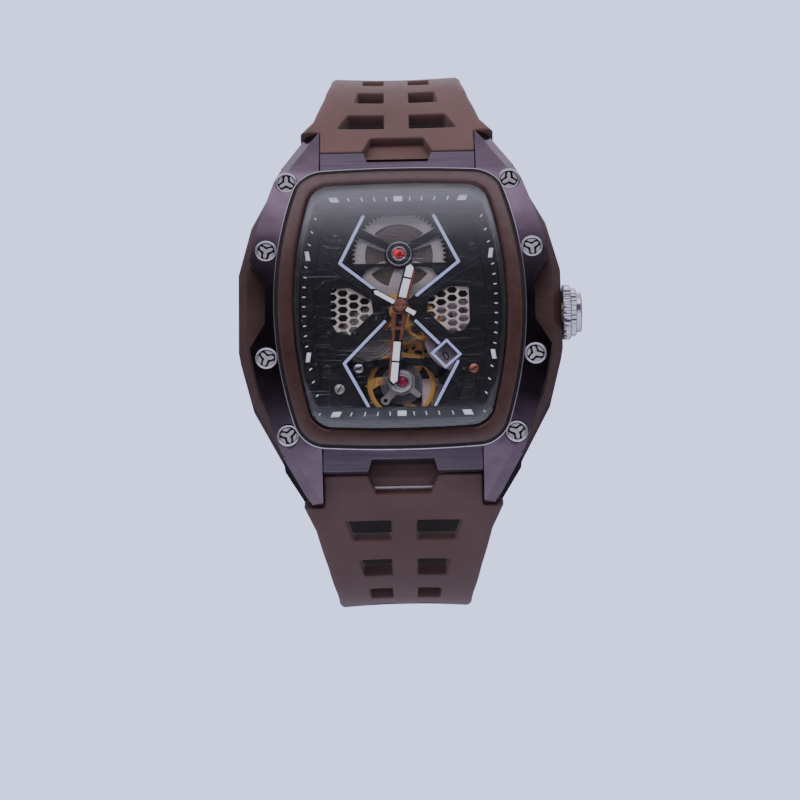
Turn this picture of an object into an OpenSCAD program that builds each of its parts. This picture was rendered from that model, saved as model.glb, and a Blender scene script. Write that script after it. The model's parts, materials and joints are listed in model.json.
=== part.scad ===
// Skeleton automatic wristwatch with a barrel-shaped case and a buckled strap.
// The dial faces -Y, 12 o'clock is +Z and the crown is +X. The origin is the middle of the case back.

/* [Case] */
// Width of the case over its side wings
case_w = 42; // [41:0.25:43]
// Straight length of each side wing
wing_flat = 10.6; // [8:0.2:12]
// Length of the case middle from strap end to strap end
case_len = 39; // [38.6:0.1:39.6]
// Height of the case middle over the back face
case_h = 9; // [8.8:0.05:9.2]
// Length over the lug tips
lug_span = 50.6; // [49.8:0.2:52]
// Gap between the two lugs of a pair
lug_gap = 20.6; // [20:0.1:21]
// Height of the bezel rails over the case middle
rail_rise = 3.2; // [3:0.1:3.5]
// Radius of the long curve over the bezel
crown_arc = 80; // [76:1:120]
// Depth of the waist cut into the edge of each rail
waist_d = 2; // [1:0.1:2.2]

/* [Glass and dial] */
// Width of the brown ring inside its opening
opening_w = 27.6; // [27.2:0.1:27.8]
// Length of the brown ring's opening
opening_l = 32.2; // [31.8:0.1:32.4]
// Width of the brown ring's band
ring_band = 2.1; // [1.9:0.05:2.15]
// Radius of the arcs that form the long sides
side_arc = 52; // [50:1:60]
// Radius of the arcs that form the short ends
end_arc = 160; // [140:5:220]
// Height of the crystal's middle over the case middle
crystal_rise = 4.2; // [3.9:0.1:4.6]
// Thickness of the dial plate
dial_t = 0.4; // [0.3:0.05:0.45]
// Width of the dial's pale lines
line_w = 0.4; // [0.3:0.05:0.5]
// Half width of the date window
date_half = 1.15; // [1.05:0.05:1.2]

/* [Movement] */
// Radius of the main plate
plate_r = 14.1; // [13.9:0.05:14.15]
// Distance from the centre to the barrel's axis
barrel_y = 7.8; // [7.7:0.05:7.9]
// Distance from the centre to the balance's axis
balance_y = 9.7; // [9.6:0.05:9.9]
// Radius of the balance wheel's rim
balance_r = 4.45; // [4.2:0.05:4.5]
// Distance from the centre to the third wheel's axis
third_d = 4.6; // [4.5:0.05:4.65]
// Clearance of a pivot in its hole
run = 0.03; // [0.02:0.01:0.05]
// Radius of the rotor
rotor_r = 13.2; // [12.6:0.1:13.3]

/* [Hands] */
// Length of the hour hand from the centre
hour_len = 6.5; // [5.5:0.1:7]
// Length of the minute hand from the centre
minute_len = 10; // [9:0.1:10.6]
// Length of the seconds hand from the centre
seconds_len = 10.6; // [9.5:0.1:10.8]
// Angle of the hour hand past 12
hour_at = 15.5; // [0:0.5:360]
// Angle of the minute hand past 12
minute_at = 186; // [0:0.5:360]
// Angle of the seconds hand past 12
seconds_at = 301; // [0:0.5:360]

/* [Crown] */
// Radius of the crown's fluted ring
crown_r = 3.6; // [3.2:0.1:3.7]
// Length of the crown
crown_l = 2.5; // [2.3:0.1:3]
// Height of the crown's axis over the main plate
stem_up = 1.4; // [1.35:0.05:1.5]

/* [Strap] */
// Thickness of the strap
strap_t = 2.4; // [2.2:0.1:2.6]
// Width of the strap outside the lugs
strap_w_lug = 25.8; // [25:0.2:27]
// Width of the strap at the buckle
strap_w = 17.6; // [17:0.2:18.6]
// Reach of the buckled strap past the centre on the 12 o'clock side
loop_12 = 39.2; // [38.5:0.1:40]
// Reach of the buckled strap past the centre on the 6 o'clock side
loop_6 = 34.6; // [34:0.1:35.2]
// Half depth of the buckled strap's oval
loop_depth = 23.8; // [23.2:0.2:24.6]
// Spacing of the rows of slots along the strap
slot_pitch = 6.1; // [5.6:0.1:6.4]
// Length of each slot along the strap
slot_l = 3; // [2.4:0.1:3.2]
// Rib left between the two slots of a row
slot_rib = 3.3; // [2.6:0.1:3.8]
// Width left between a slot and the strap's edge
slot_edge = 4.45; // [4:0.1:5]

/* [Hidden] */

$fn = 48;
gap = 0.1;
half_gap = lug_gap / 2;
wing = case_w / 2;
ring_w = opening_w / 2 + ring_band;
ring_l = opening_l / 2 + ring_band - 0.1;
rail_w = ring_w + 3.5;
end_y = case_len / 2;
tip_y = lug_span / 2;
cavity_w = ring_w - 1;
cavity_l = ring_l - 1.2;
cavity_corner = 5;
back_w = ring_w + 0.6;
back_l = ring_l + 0.1;
back_t = 1.2;
bezel_top = case_h + rail_rise;
plate_edge_y = end_y + 2.2;
plate_low = case_h - 2.3;

// Levels of the movement over the back face, tied to the dial side of the case
dial_z = case_h - 1;
plate_z = dial_z - 4.4;
plate_t = 1;
plate_top = plate_z + plate_t;
stem_z = plate_top + stem_up;
back_glass_r = plate_r - 2.9;
rotor_z = back_t + 0.5;
rotor_h = plate_z - rotor_z - 0.55;
rotor_web_z = rotor_z + rotor_h / 2 - 0.15;
seat_r = plate_r - 0.3;
fourth_z = plate_top + 0.15;
escape_z = plate_top + 0.7;
third_z = plate_top + 0.55;
centre_z = plate_top + 1.15;
bar_z = plate_top + 1.55;
bar_t = 0.35;
barrel_z = plate_top + 1.55;
barrel_h = 1.2;
bridge_z = dial_z - 0.55;
bridge_t = 0.45;
arbor_top = bridge_z + 0.35;
date_z = bridge_z - 0.35;
date_t = 0.25;
motion_z = dial_z - 0.55;
motion_t = 0.15;
hour_z = dial_z + dial_t + 0.6;
minute_z = hour_z + 0.6;
seconds_z = minute_z + 0.55;
hand_t = 0.25;
lume_t = 0.08;

// Teeth of the train, with the axes that the distances give
centre_teeth = 64;
third_leaves = 8;
third_teeth = 60;
fourth_leaves = 8;
fourth_teeth = 70;
escape_leaves = 7;
barrel_teeth = 60;
centre_leaves = 18;
cannon_leaves = 12;
motion_teeth = 36;
motion_leaves = 10;
hour_teeth = 40;
third_dir = 216.6;
third_at = third_d * [cos(third_dir), sin(third_dir)];
escape_d = 4.77;
escape_dir = 303;
escape_at = escape_d * [cos(escape_dir), sin(escape_dir)];
motion_d = 3.22;
motion_dir = 334;
motion_at = motion_d * [cos(motion_dir), sin(motion_dir)];
barrel_at = [0, barrel_y];
balance_at = [0, -balance_y];
pallet_at = escape_at + 2.95 * unit(balance_at - escape_at);
pallet_dir = atan2(balance_at[1] - escape_at[1], balance_at[0] - escape_at[0]);

// Screws of the bezel, in one quarter of the case
screw_at = [[ring_w - 1.3, ring_l - 0.95], [ring_w + 1.35, wing_flat / 2 + 1.95]];
screw_r = 1.42;
screw_shank = 0.6;

// The date window and the hourglass opening of the dial, in one half of the dial
date_at = [5.85, -6.1];
date_axis = [8, -3.4];
glass_l = opening_l / 2 - 3;
upper_glass = [[0.9, 0.9], [7.75, 6.5], [4.55, glass_l]];
lower_glass = [[0.9, -0.4], [7.35, -7.15], [4.25, -glass_l]];
comb_x = opening_w / 2 - 4.8;
comb_edge = [
    [comb_x, 3.1], [6.6, 3.3], [3.7, 1.5], [3.5, -0.3], [6.6, -3.3], [comb_x - 0.7, -2.8], [comb_x, -1.6]
];

// The buckled strap follows two quarter ovals on the dial side and two on the wrist side
loop_z = -11;
strap_edge_y = plate_edge_y + 0.15;
bar_y = (end_y + tip_y + 0.2) / 2;
spring_bar_z = 4.4;
spring_bar_r = 0.8;
pin_t = 168;
tail_t = 116;
step_d = strap_t + 0.3;
buckle_wire = 1.6;
far_t = 174;
far_r = 0.95;

function unit(v) = v / norm(v);
function side_x(w, y, r) = w - side_arc + sqrt(pow(side_arc - r, 2) - y * y);
function end_yy(l, x, r) = l - end_arc + sqrt(pow(end_arc - r, 2) - x * x);
function corner(w, l, r, n = 5, y = 10) =
    n == 0 ? [side_x(w, y, r), y] : corner(w, l, r, n - 1, end_yy(l, side_x(w, y, r), r));

// One quarter of the barrel outline, from the middle of its side to the middle of its end
function quarter(w, l, r) =
    let (c = corner(w, l, r), a = atan2(c[1], c[0] - w + side_arc), b = atan2(c[1] - l + end_arc, c[0]))
    concat(
        [for (i = [0:6]) [w - side_arc + side_arc * cos(a * i / 6), side_arc * sin(a * i / 6)]],
        [for (i = [1:6]) c + r * [cos(a + (b - a) * i / 6), sin(a + (b - a) * i / 6)]],
        [for (i = [1:3])
            let (t = b + (90 - b) * i / 3)
            [end_arc * cos(t), l - end_arc + end_arc * sin(t)]]);

function barrel(w, l, r) =
    let (q = quarter(w, l, r), n = len(q))
    concat(
        q,
        [for (i = [n - 2:-1:0]) [-q[i][0], q[i][1]]],
        [for (i = [1:n - 1]) [-q[i][0], -q[i][1]]],
        [for (i = [n - 2:-1:1]) [q[i][0], -q[i][1]]]);

function turn(v, a) = [v[0] * cos(a) - v[1] * sin(a), v[0] * sin(a) + v[1] * cos(a)];

// A point of the strap's outer face at angle t from the dial side, d outside that face
function reach(s) = s > 0 ? loop_12 : loop_6;
function loop_p(s, t) = [s * reach(s) * sin(t), loop_z + loop_depth * cos(t)];
function loop_n(s, t) = unit([s * loop_depth * sin(t), reach(s) * cos(t)]);
function on_loop(s, t, d = 0) = loop_p(s, t) + d * loop_n(s, t);
function pace(s, t) = norm([reach(s) * cos(t), loop_depth * sin(t)]) * PI / 180;
function ahead(s, t, dist, n = 8) = n == 0 ? t : ahead(s, t + dist / 8 / pace(s, t), dist, n - 1);
function row_t(s, i) = i == 0 ? (s > 0 ? 44.5 : 54.7) : ahead(s, row_t(s, i - 1), slot_pitch);
function ease(u) = let (v = min(1, max(0, u))) v * v * (3 - 2 * v);
function step_at(t) = step_d * ease((t - 167) / 26);
function loop_any(t, d) = t <= 180 ? on_loop(-1, t, d) : on_loop(1, 360 - t, d);

// Half width of the strap at angle t: it flares to the lugs and tapers to the buckle's width
function lug_t(s) = asin((tip_y + 0.15) / reach(s));
function taper_at(s) =
    s > 0
        ? [[lug_t(s), 1], [44.9, 0.58], [54.8, 0.25], [67, 0.03], [76, 0]]
        : [[lug_t(s), 1], [54.6, 0.63], [68, 0.29], [82.5, 0.05], [89, 0]];
function half_w(s, t) = strap_w / 2 + (strap_w_lug - strap_w) / 2 * lookup(t, taper_at(s));

// Lays a piece drawn face up with 12 o'clock at +Y so that its dial faces -Y
module upright() {
    rotate([90, 0, 0])
        children();
}

module plate(w, l, r, z, t) {
    translate([0, 0, z])
        linear_extrude(t)
            polygon(barrel(w, l, r));
}

module disc(r, z, t, at = [0, 0], fn = 64) {
    translate([at[0], at[1], z])
        cylinder(r = r, h = t, $fn = fn);
}

// The long curve that tops the bezel and the crystal, as a solid under it
module under_arc(top) {
    translate([0, 0, top - crown_arc])
        rotate([0, 90, 0])
            cylinder(r = crown_arc, h = 60, center = true, $fn = 360);
}

module four_ways() {
    for (x = [-1, 1], y = [-1, 1])
        scale([x, y, 1])
            children();
}

module both_sides() {
    children();
    mirror([1, 0, 0])
        children();
}

function arc_z(top, y) = top - crown_arc + sqrt(crown_arc * crown_arc - y * y);

// A toothed outline: pitch radius r, n teeth, tip and root heights, with a tooth at angle at
function teeth(n, r, tip, root, at = 0, wide = 0.26, crest = 0.12) =
    [for (i = [0:n - 1], k = [[-wide, -root], [-crest, tip], [crest, tip], [wide, -root]])
        let (a = at + (i + k[0]) * 360 / n) (r + k[1]) * [cos(a), sin(a)]];

module gear(n, r, z, t, at = 0, tip = 0.13, root = 0.17, wide = 0.26, crest = 0.12) {
    translate([0, 0, z])
        linear_extrude(t)
            polygon(teeth(n, r, tip, root, at, wide, crest));
}

// Windows between the spokes of a wheel
module crossings(n, r_in, r_out, z, t, spoke, at = 0) {
    difference() {
        disc(r_out, z - 1, t + 2);
        disc(r_in, z - 2, t + 4);
        for (i = [0:n - 1])
            rotate(at + i * 360 / n)
                translate([0, -spoke / 2, z - 2])
                    cube([r_out + 1, spoke, t + 4]);
    }
}

// A flat spiral wire of rectangular section, as one closed tube
function spiral_r(r0, pitch, a) = r0 + pitch * a / 360;
module spiral(r0, pitch, turns, wire, high, z, steps = 24) {
    n = floor(turns * steps);
    section = [[-wire / 2, 0], [wire / 2, 0], [wire / 2, high], [-wire / 2, high]];
    points = [for (i = [0:n], k = section)
        let (a = i * 360 / steps, r = spiral_r(r0, pitch, a) + k[0]) [r * cos(a), r * sin(a), z + k[1]]];
    sides = [for (i = [0:n - 1], k = [0:3])
        let (a = 4 * i + k, b = 4 * i + (k + 1) % 4) [b, a, a + 4, b + 4]];
    far_end = [4 * n + 3, 4 * n + 2, 4 * n + 1, 4 * n];
    polyhedron(points = points, faces = concat([[0, 1, 2, 3]], sides, [far_end]));
}

// Least gap between neighbouring turns of a spiral
function spiral_gap(pitch, wire) = pitch - wire;

// Case
module case_quarter_outline() {
    hip = ring_w - 0.7;
    polygon([
        [wing, -wing_flat / 2], [wing, wing_flat / 2], [wing - 1.7, 11.8], [hip, end_y],
        [-hip, end_y], [-wing + 1.7, 11.8], [-wing, wing_flat / 2], [-wing, -wing_flat / 2],
        [-wing + 1.7, -11.8], [-hip, -end_y], [hip, -end_y], [wing - 1.7, -11.8]
    ]);
}

module case_middle() upright() color("#4a3230") {
    difference() {
        hull() {
            translate([0, 0, 2.6])
                linear_extrude(case_h - 2.6 - 1.2)
                    case_quarter_outline();
            translate([0, 0, case_h - 0.01])
                linear_extrude(0.01)
                    scale([1 - 1.1 / wing, 1])
                        case_quarter_outline();
            translate([0, 0, 0.3])
                linear_extrude(0.01)
                    scale([1 - 1.6 / wing, 1])
                        case_quarter_outline();
        }
        plate(back_w + gap, back_l + gap, 3, 0, back_t);
        plate(cavity_w, cavity_l, cavity_corner, back_t - 0.5, case_h);
        translate([wing - 10, 0, stem_z])
            rotate([0, 90, 0])
                cylinder(r = 1.3 + run, h = 12);
        four_ways()
            for (p = screw_at)
                disc(screw_shank + run, case_h - 2.6, 4, p, 24);
        four_ways()
            disc(0.5 + run, 0, 4.2, back_screw_at(), 24);
    }
}

function back_screw_at() = [back_w - 3.5, back_l - 2.45];

// The outer edge of one rail with its two lugs, cut in at the waist
function rail_edge() = [
    [rail_w - waist_d, 2.6], [rail_w, 6], [rail_w - 0.9, 10.4], [ring_w + 0.3, 17.4],
    [ring_w - 0.6, end_y + 0.2], [half_gap + 2.3, tip_y - 1.2], [half_gap + 1.4, tip_y], [half_gap, tip_y]
];

module rail_outline() {
    e = rail_edge();
    n = len(e);
    difference() {
        polygon(concat(e, [for (i = [n - 1:-1:0]) [e[i][0], -e[i][1]]]));
        polygon(barrel(ring_w + 0.08, ring_l + 0.08, 4.2));
    }
}

// Side view of a rail: the curved top, the lugs that drop past the case ends, and the flat seat
function rail_profile() =
    let (y1 = end_y - 0.3, s = end_y + gap)
    concat(
        [for (i = [-8:8]) let (y = y1 * i / 8) [y, arc_z(bezel_top, y)]],
        [[tip_y, bezel_top - 5.2], [tip_y, 2.6], [tip_y - 1.4, 1.6], [s, 1.6], [s, case_h]],
        [[-s, case_h], [-s, 1.6], [-tip_y + 1.4, 1.6], [-tip_y, 2.6], [-tip_y, bezel_top - 5.2]]);

module side_view(x0, length) {
    translate([x0, 0, 0])
        rotate([90, 0, 90])
            linear_extrude(length)
                children();
}

module rail() {
    difference() {
        intersection() {
            linear_extrude(bezel_top + 1)
                rail_outline();
            side_view(0, 40)
                polygon(rail_profile());
        }
        for (y = [-1, 1], p = screw_at) {
            q = [p[0], y * p[1]];
            disc(screw_r + 0.06, arc_z(bezel_top, p[1]) - 0.55, 3, q, 40);
            disc(screw_shank + run, case_h - 1, 9, q, 24);
        }
        for (y = [-1, 1])
            translate([half_gap - 1, y * bar_y, spring_bar_z])
                rotate([0, 90, 0])
                    cylinder(r = 0.5 + run, h = 2, $fn = 24);
    }
}

module rail_right() upright() color("#5a4c56") rail();

module rail_left() upright() color("#5a4c56") mirror([1, 0, 0]) rail();

// Plate between two lugs, with a notch for the strap's pocket
module end_plate() {
    y0 = ring_l + 0.16;
    top = arc_z(bezel_top, y0) - 0.3;
    difference() {
        side_view(-half_gap + gap, lug_gap - 2 * gap)
            polygon([
                [y0 - 1.4, case_h], [y0 - 1.4, top + 0.1], [y0 + 0.6, top], [plate_edge_y, top - 0.9],
                [plate_edge_y, plate_low], [end_y + gap, plate_low], [end_y + gap, case_h]
            ]);
        plate(ring_w + 0.08, ring_l + 0.08, 4.2, case_h - 1, 6);
        translate([0, 0, 6])
            linear_extrude(8)
                polygon([
                    [-4, end_y + 0.75], [4, end_y + 0.75], [4.7, plate_edge_y + 1], [-4.7, plate_edge_y + 1]
                ]);
    }
}

module end_plate_12() upright() color("#55485a") end_plate();

module end_plate_6() upright() color("#55485a") mirror([0, 1, 0]) end_plate();

// Raised rim with a three-armed socket
module bezel_screw(top) {
    seat = top - 0.55;
    difference() {
        union() {
            translate([0, 0, seat])
                cylinder(r = screw_r, h = 0.65, $fn = 40);
            translate([0, 0, case_h - 2.4])
                cylinder(r = screw_shank, h = seat - case_h + 2.5, $fn = 24);
        }
        translate([0, 0, top - 0.2])
            cylinder(r = screw_r - 0.32, h = 1, $fn = 40);
        for (i = [0:2])
            rotate(90 + i * 120)
                translate([0, -0.2, top - 0.42])
                    cube([0.95, 0.4, 1]);
    }
}

module bezel_screws() upright() color("silver")
    for (x = [-1, 1], y = [-1, 1], p = screw_at)
        translate([x * p[0], y * p[1], 0])
            bezel_screw(arc_z(bezel_top, p[1]));

module bezel_ring() upright() color("#4b2f2e")
    intersection() {
        difference() {
            plate(ring_w, ring_l, 4.1, case_h, 6);
            plate(opening_w / 2, opening_l / 2, 3.2, case_h - 1, 8);
        }
        under_arc(bezel_top + 0.2);
    }

module crystal() upright() color("white", 0.35)
    intersection() {
        plate(opening_w / 2 - gap, opening_l / 2 - gap, 3.1, case_h + 1.8, 6);
        under_arc(case_h + crystal_rise);
    }

module crystal_gasket() upright() color("#151515")
    difference() {
        plate(opening_w / 2 - gap, opening_l / 2 - gap, 3.1, case_h + 0.95, 0.85);
        plate(opening_w / 2 - 0.6, opening_l / 2 - 0.6, 2.6, case_h, 3);
    }

module chapter_ring() upright() color("#14131a")
    difference() {
        plate(opening_w / 2 - gap, opening_l / 2 - gap, 3.1, dial_z + dial_t, 1.95 - dial_t);
        plate(opening_w / 2 - 0.9, opening_l / 2 - 0.9, 2.6, dial_z + dial_t + 0.4, 3);
        plate(opening_w / 2 - 2.6, opening_l / 2 - 2.9, 1.6, dial_z, 3);
    }

module chapter_markers() upright() color("white") {
    z = dial_z + dial_t + 0.4;
    row_y = opening_l / 2 - 2.05;
    row_x = opening_w / 2 - 1.8;
    for (x = [-8.15, 0, 8.15], y = [-row_y, row_y])
        translate([x, y, z])
            linear_extrude(0.12)
                polygon([
                    [-0.6 + x / 30, -0.35], [0.6 + x / 30, -0.35], [0.6 - x / 30, 0.35], [-0.6 - x / 30, 0.35]
                ]);
    four_ways()
        translate([row_x - 0.1, 6.9, z])
            rotate(-6)
                linear_extrude(0.12)
                    square([0.55, 1.3], center = true);
}

// Dial
module hourglass(points, grow = 0) {
    p = points;
    polygon([
        [p[0][0] + grow, p[0][1]], [p[1][0] + grow, p[1][1]], [p[2][0] + grow, p[2][1]],
        [-p[2][0] - grow, p[2][1]], [-p[1][0] - grow, p[1][1]], [-p[0][0] - grow, p[0][1]]
    ]);
}

module date_square(half, z, t) {
    translate([date_at[0], date_at[1], z])
        rotate(42)
            translate([-half, -half, 0])
                cube([2 * half, 2 * half, t]);
}

module dial_plate() upright() color("#14131a")
    difference() {
        plate(cavity_w - gap, cavity_l - gap, cavity_corner, dial_z, dial_t);
        translate([0, 0, dial_z - 1]) {
            linear_extrude(3)
                hourglass(upper_glass, -line_w);
            linear_extrude(3)
                hourglass(lower_glass, -line_w);
            linear_extrude(3)
                both_sides()
                    polygon(comb_edge);
        }
        disc(1.5, dial_z - 1, 3);
        date_square(date_half, dial_z - 1, 3);
        for (p = dial_screw_at())
            disc(0.3 + run, dial_z - 1, 3, p, 24);
    }

function dial_screw_at() =
    let (x = opening_w / 2 - 4.2, y = opening_l / 2 - 7.6)
    [[1.6 - x, -y - 2.1], [x - 0.2, 0.4 - y], [-x, y], [x, y], [-x, 0.7 - y]];

module dial_screws() upright() color("silver")
    for (p = dial_screw_at())
        translate([p[0], p[1], 0])
            difference() {
                union() {
                    disc(0.62, dial_z + dial_t, 0.2, fn = 32);
                    disc(0.3, dial_z - 0.3, 0.5 + dial_t, fn = 24);
                }
                translate([-1, -0.08, dial_z + dial_t + 0.1])
                    cube([2, 0.16, 1]);
            }

// One straight line of the hourglass, from a to b
module line(a, b) {
    translate(a)
        rotate(atan2(b[1] - a[1], b[0] - a[0]))
            translate([0, -line_w / 2])
                square([norm(b - a), line_w]);
}

module lume_lines() upright() color("#c8c8e6")
    translate([0, 0, dial_z + dial_t])
        linear_extrude(0.12)
            difference() {
                both_sides() {
                    line(upper_glass[0] + [1.2, 0.98], upper_glass[1]);
                    line(upper_glass[1], upper_glass[2]);
                    line(lower_glass[0] + [1, -1.05], lower_glass[1]);
                    line(lower_glass[1], lower_glass[2]);
                    translate(upper_glass[1])
                        circle(line_w / 2, $fn = 24);
                    translate(lower_glass[1])
                        circle(line_w / 2, $fn = 24);
                }
                translate(date_at)
                    rotate(42)
                        square(2 * date_half + 0.9, center = true);
            }

module honeycomb() upright() color("#b3a79c")
    translate([0, 0, dial_z - 0.3])
        linear_extrude(0.3)
            both_sides()
                difference() {
                    offset(delta = 0.3)
                        polygon(comb_edge);
                    for (i = [-2:2], j = [-3:3])
                        translate([comb_x - 2.7 + i * 1.42, (j + (i % 2 == 0 ? 0 : 0.5)) * 1.22])
                            scale([1.22, 1])
                                circle(0.47, $fn = 6);
                }

module date_frame() upright() color("#c8c8e6")
    difference() {
        date_square(date_half + 0.3, dial_z + dial_t, 0.25);
        date_square(date_half - 0.05, dial_z, 2);
    }

module date_disc() upright() color("#b9b9b9")
    difference() {
        disc(4.95, date_z, date_t, date_axis);
        disc(0.4 + run, date_z - 1, 3, date_axis, 32);
    }

// Movement
module movement_holder() upright() color("#2b2b2e")
    difference() {
        plate(cavity_w - gap, cavity_l - gap, cavity_corner, back_t + 0.1, dial_z - back_t - 0.1);
        disc(plate_r + run, plate_z, 9, fn = 96);
        disc(seat_r, 0, 9, fn = 96);
        disc(balance_r + 0.5, plate_top, 9, balance_at, 96);
        translate([seat_r - 4, 0, stem_z])
            rotate([0, 90, 0])
                cylinder(r = 0.8, h = 12);
    }

module main_plate() upright() color("#77706e")
    difference() {
        union() {
            disc(plate_r, plate_z, plate_t, fn = 96);
            disc(1, plate_z, plate_t + 0.1);
            disc(0.39, plate_z, date_z + date_t - 0.03 - plate_z, date_axis, 32);
            disc(0.8, plate_z, date_z - 0.1 - plate_z, date_axis, 32);
        }
        for (p = [[0, 0], third_at, escape_at, barrel_at, balance_at, pallet_at])
            disc(0.3 + run, plate_z - 1, 9, p, 32);
        for (p = post_at())
            disc(0.45, plate_z - 1, plate_t + 2, p, 24);
    }

// Pillars of the train bridge, the balance bridge and the barrel bridge
function train_posts() = [[-8.9, -2.2], [6.9, -1.6]];
function balance_posts() = [[-5.5, -7.7], [5.5, -8.8]];
function barrel_posts() = [[-9.3, 7.2], [9.3, 7.2], [-7.6, 10.4], [7.6, 10.4]];
function post_at() = concat(train_posts(), balance_posts(), barrel_posts());

module post(p, top) {
    disc(0.7, plate_top, top - plate_top, p, 32);
    disc(0.45 - run, plate_z + 0.2, 2, p, 24);
}

module barrel_drum() upright() color("#8f8a86")
    translate([barrel_at[0], barrel_at[1], 0])
        difference() {
            union() {
                gear(barrel_teeth, barrel_pitch(), drum_top_z() - 0.35, 0.35, -90 + 180 / barrel_teeth,
                    0.17, 0.2, 0.26, 0.1);
                disc(4.9, barrel_z, barrel_h - 0.1, fn = 96);
            }
            disc(4.5, barrel_z + 0.25, 3, fn = 96);
            disc(0.7 + run, 0, 9, fn = 32);
        }

function drum_top_z() = barrel_z + barrel_h;
function barrel_pitch() = barrel_y * barrel_teeth / (barrel_teeth + centre_leaves);

module mainspring() upright() color("#7a6a5c") {
    echo(mainspring_gap = spiral_gap(0.58, 0.16));
    translate([barrel_at[0], barrel_at[1], 0])
        spiral(1.5, 0.58, 4.8, 0.16, 0.6, barrel_z + 0.35);
}

module barrel_arbor() upright() color("silver")
    translate([barrel_at[0], barrel_at[1], 0]) {
        disc(0.3, plate_z, arbor_top - plate_z, fn = 32);
        disc(0.7, plate_top + 0.8, bridge_z - 0.1 - plate_top - 0.8, fn = 32);
        gear(40, 2.9, plate_top + 0.95, 0.3);
    }

module arm(from, to, w0, w1, z, t) {
    a = atan2(to[1] - from[1], to[0] - from[0]);
    translate([from[0], from[1], z])
        rotate(a)
            linear_extrude(t)
                polygon([[0, -w0 / 2], [norm(to - from), -w1 / 2], [norm(to - from), w1 / 2], [0, w0 / 2]]);
}

module barrel_bridge() upright() color("#17161b") {
    difference() {
        union() {
            disc(1.9, bridge_z, bridge_t, barrel_at);
            for (p = barrel_posts()) {
                arm(barrel_at, p, 0.9, 1.5, bridge_z, bridge_t);
                disc(0.9, bridge_z, bridge_t, p, 32);
            }
        }
        disc(1.3, bridge_z - 1, 3, barrel_at);
    }
    for (p = barrel_posts())
        post(p, bridge_z + 0.1);
}

// A jewel in its round setting
module jewel_setting(at, z, r, t) {
    difference() {
        disc(r, z, t, at);
        disc(0.3 + run, z - 1, t + 0.6, at, 32);
        disc(0.82, z + t - 0.25, 1, at, 32);
    }
}

module barrel_jewel() upright() color("#b01020")
    jewel_setting(barrel_at, bridge_z, 1.3 - 0.02, bridge_t + 0.35);

module centre_wheel() upright() color("#c09a4a") {
    pitch = third_d * centre_teeth / (centre_teeth + third_leaves);
    leaf_r = barrel_y * centre_leaves / (barrel_teeth + centre_leaves);
    cannon_r = motion_d * cannon_leaves / (cannon_leaves + motion_teeth);
    difference() {
        union() {
            difference() {
                gear(centre_teeth, pitch, centre_z, 0.25, third_dir);
                crossings(5, 1.4, pitch - 0.7, centre_z, 0.25, 0.45);
            }
            gear(centre_leaves, leaf_r, drum_top_z() - 0.4, 0.43, 90, 0.15, 0.22, 0.2, 0.1);
            disc(0.62, fourth_z + 0.75, minute_z + hand_t - fourth_z - 0.75, fn = 40);
            gear(cannon_leaves, cannon_r, motion_z, motion_t + 0.02, motion_dir, 0.12, 0.17, 0.2, 0.1);
        }
        disc(0.3 + run, 0, 20, fn = 32);
    }
}

module third_wheel() upright() color("#b9b6b2")
    translate([third_at[0], third_at[1], 0]) {
        pitch = third_d * third_teeth / (third_teeth + fourth_leaves);
        leaf_r = third_d * third_leaves / (centre_teeth + third_leaves);
        difference() {
            gear(third_teeth, pitch, third_z, 0.2, third_dir + 180 + 180 / third_teeth);
            crossings(4, 1.2, pitch - 0.6, third_z, 0.2, 0.4, 20);
        }
        gear(third_leaves, leaf_r, third_z + 0.1, 0.85, third_dir + 180 + 180 / third_leaves,
            0.12, 0.16, 0.2, 0.1);
        disc(0.3, plate_z, bar_z + bar_t - plate_z, fn = 32);
    }

module fourth_wheel() upright() color("#c09a4a") {
    pitch = escape_d * fourth_teeth / (fourth_teeth + escape_leaves);
    leaf_r = third_d * fourth_leaves / (third_teeth + fourth_leaves);
    difference() {
        gear(fourth_teeth, pitch, fourth_z, 0.2, escape_dir, 0.11, 0.15);
        crossings(4, 1.2, pitch - 0.6, fourth_z, 0.2, 0.4, 10);
    }
    gear(fourth_leaves, leaf_r, fourth_z + 0.1, 0.6, third_dir, 0.12, 0.16, 0.2, 0.1);
    disc(0.3, plate_z, seconds_z + hand_t - plate_z, fn = 32);
}

module escape_wheel() upright() color("#c9a24e")
    translate([escape_at[0], escape_at[1], 0]) {
        leaf_r = escape_d * escape_leaves / (fourth_teeth + escape_leaves);
        difference() {
            translate([0, 0, escape_z])
                linear_extrude(0.2)
                    polygon([for (i = [0:14], k = [[0, 1.55], [0.35, 1.6], [0.5, 1.98], [0.62, 1.98]])
                        k[1] * [cos((i + k[0]) * 24), sin((i + k[0]) * 24)]]);
            crossings(5, 0.7, 1.25, escape_z, 0.2, 0.25);
        }
        gear(escape_leaves, leaf_r, fourth_z - 0.05, 0.4, escape_dir + 180 + 180 / escape_leaves,
            0.11, 0.13, 0.2, 0.1);
        disc(0.3, plate_z, escape_z + 0.4 - plate_z, fn = 32);
    }

module pallet_fork() upright() color("#a8a4a0")
    translate([pallet_at[0], pallet_at[1], 0]) {
        rotate(pallet_dir)
            translate([0, 0, escape_z])
                linear_extrude(0.2)
                    difference() {
                        polygon([
                            [-0.5, 0], [-1.1, -1.65], [-1.7, -1.85],
                            [-1.55, -2.15], [-0.7, -1.8], [0.3, -0.45],
                            [2.2, -0.22], [2.55, -0.45], [2.55, 0.45], [2.2, 0.22], [0.3, 0.45],
                            [-0.7, 1.8], [-1.55, 2.15], [-1.7, 1.85], [-1.1, 1.65]
                        ]);
                        translate([2.3, -0.15])
                            square([1, 0.3]);
                    }
        disc(0.3, plate_z, escape_z + 0.3 - plate_z, fn = 32);
    }

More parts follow.
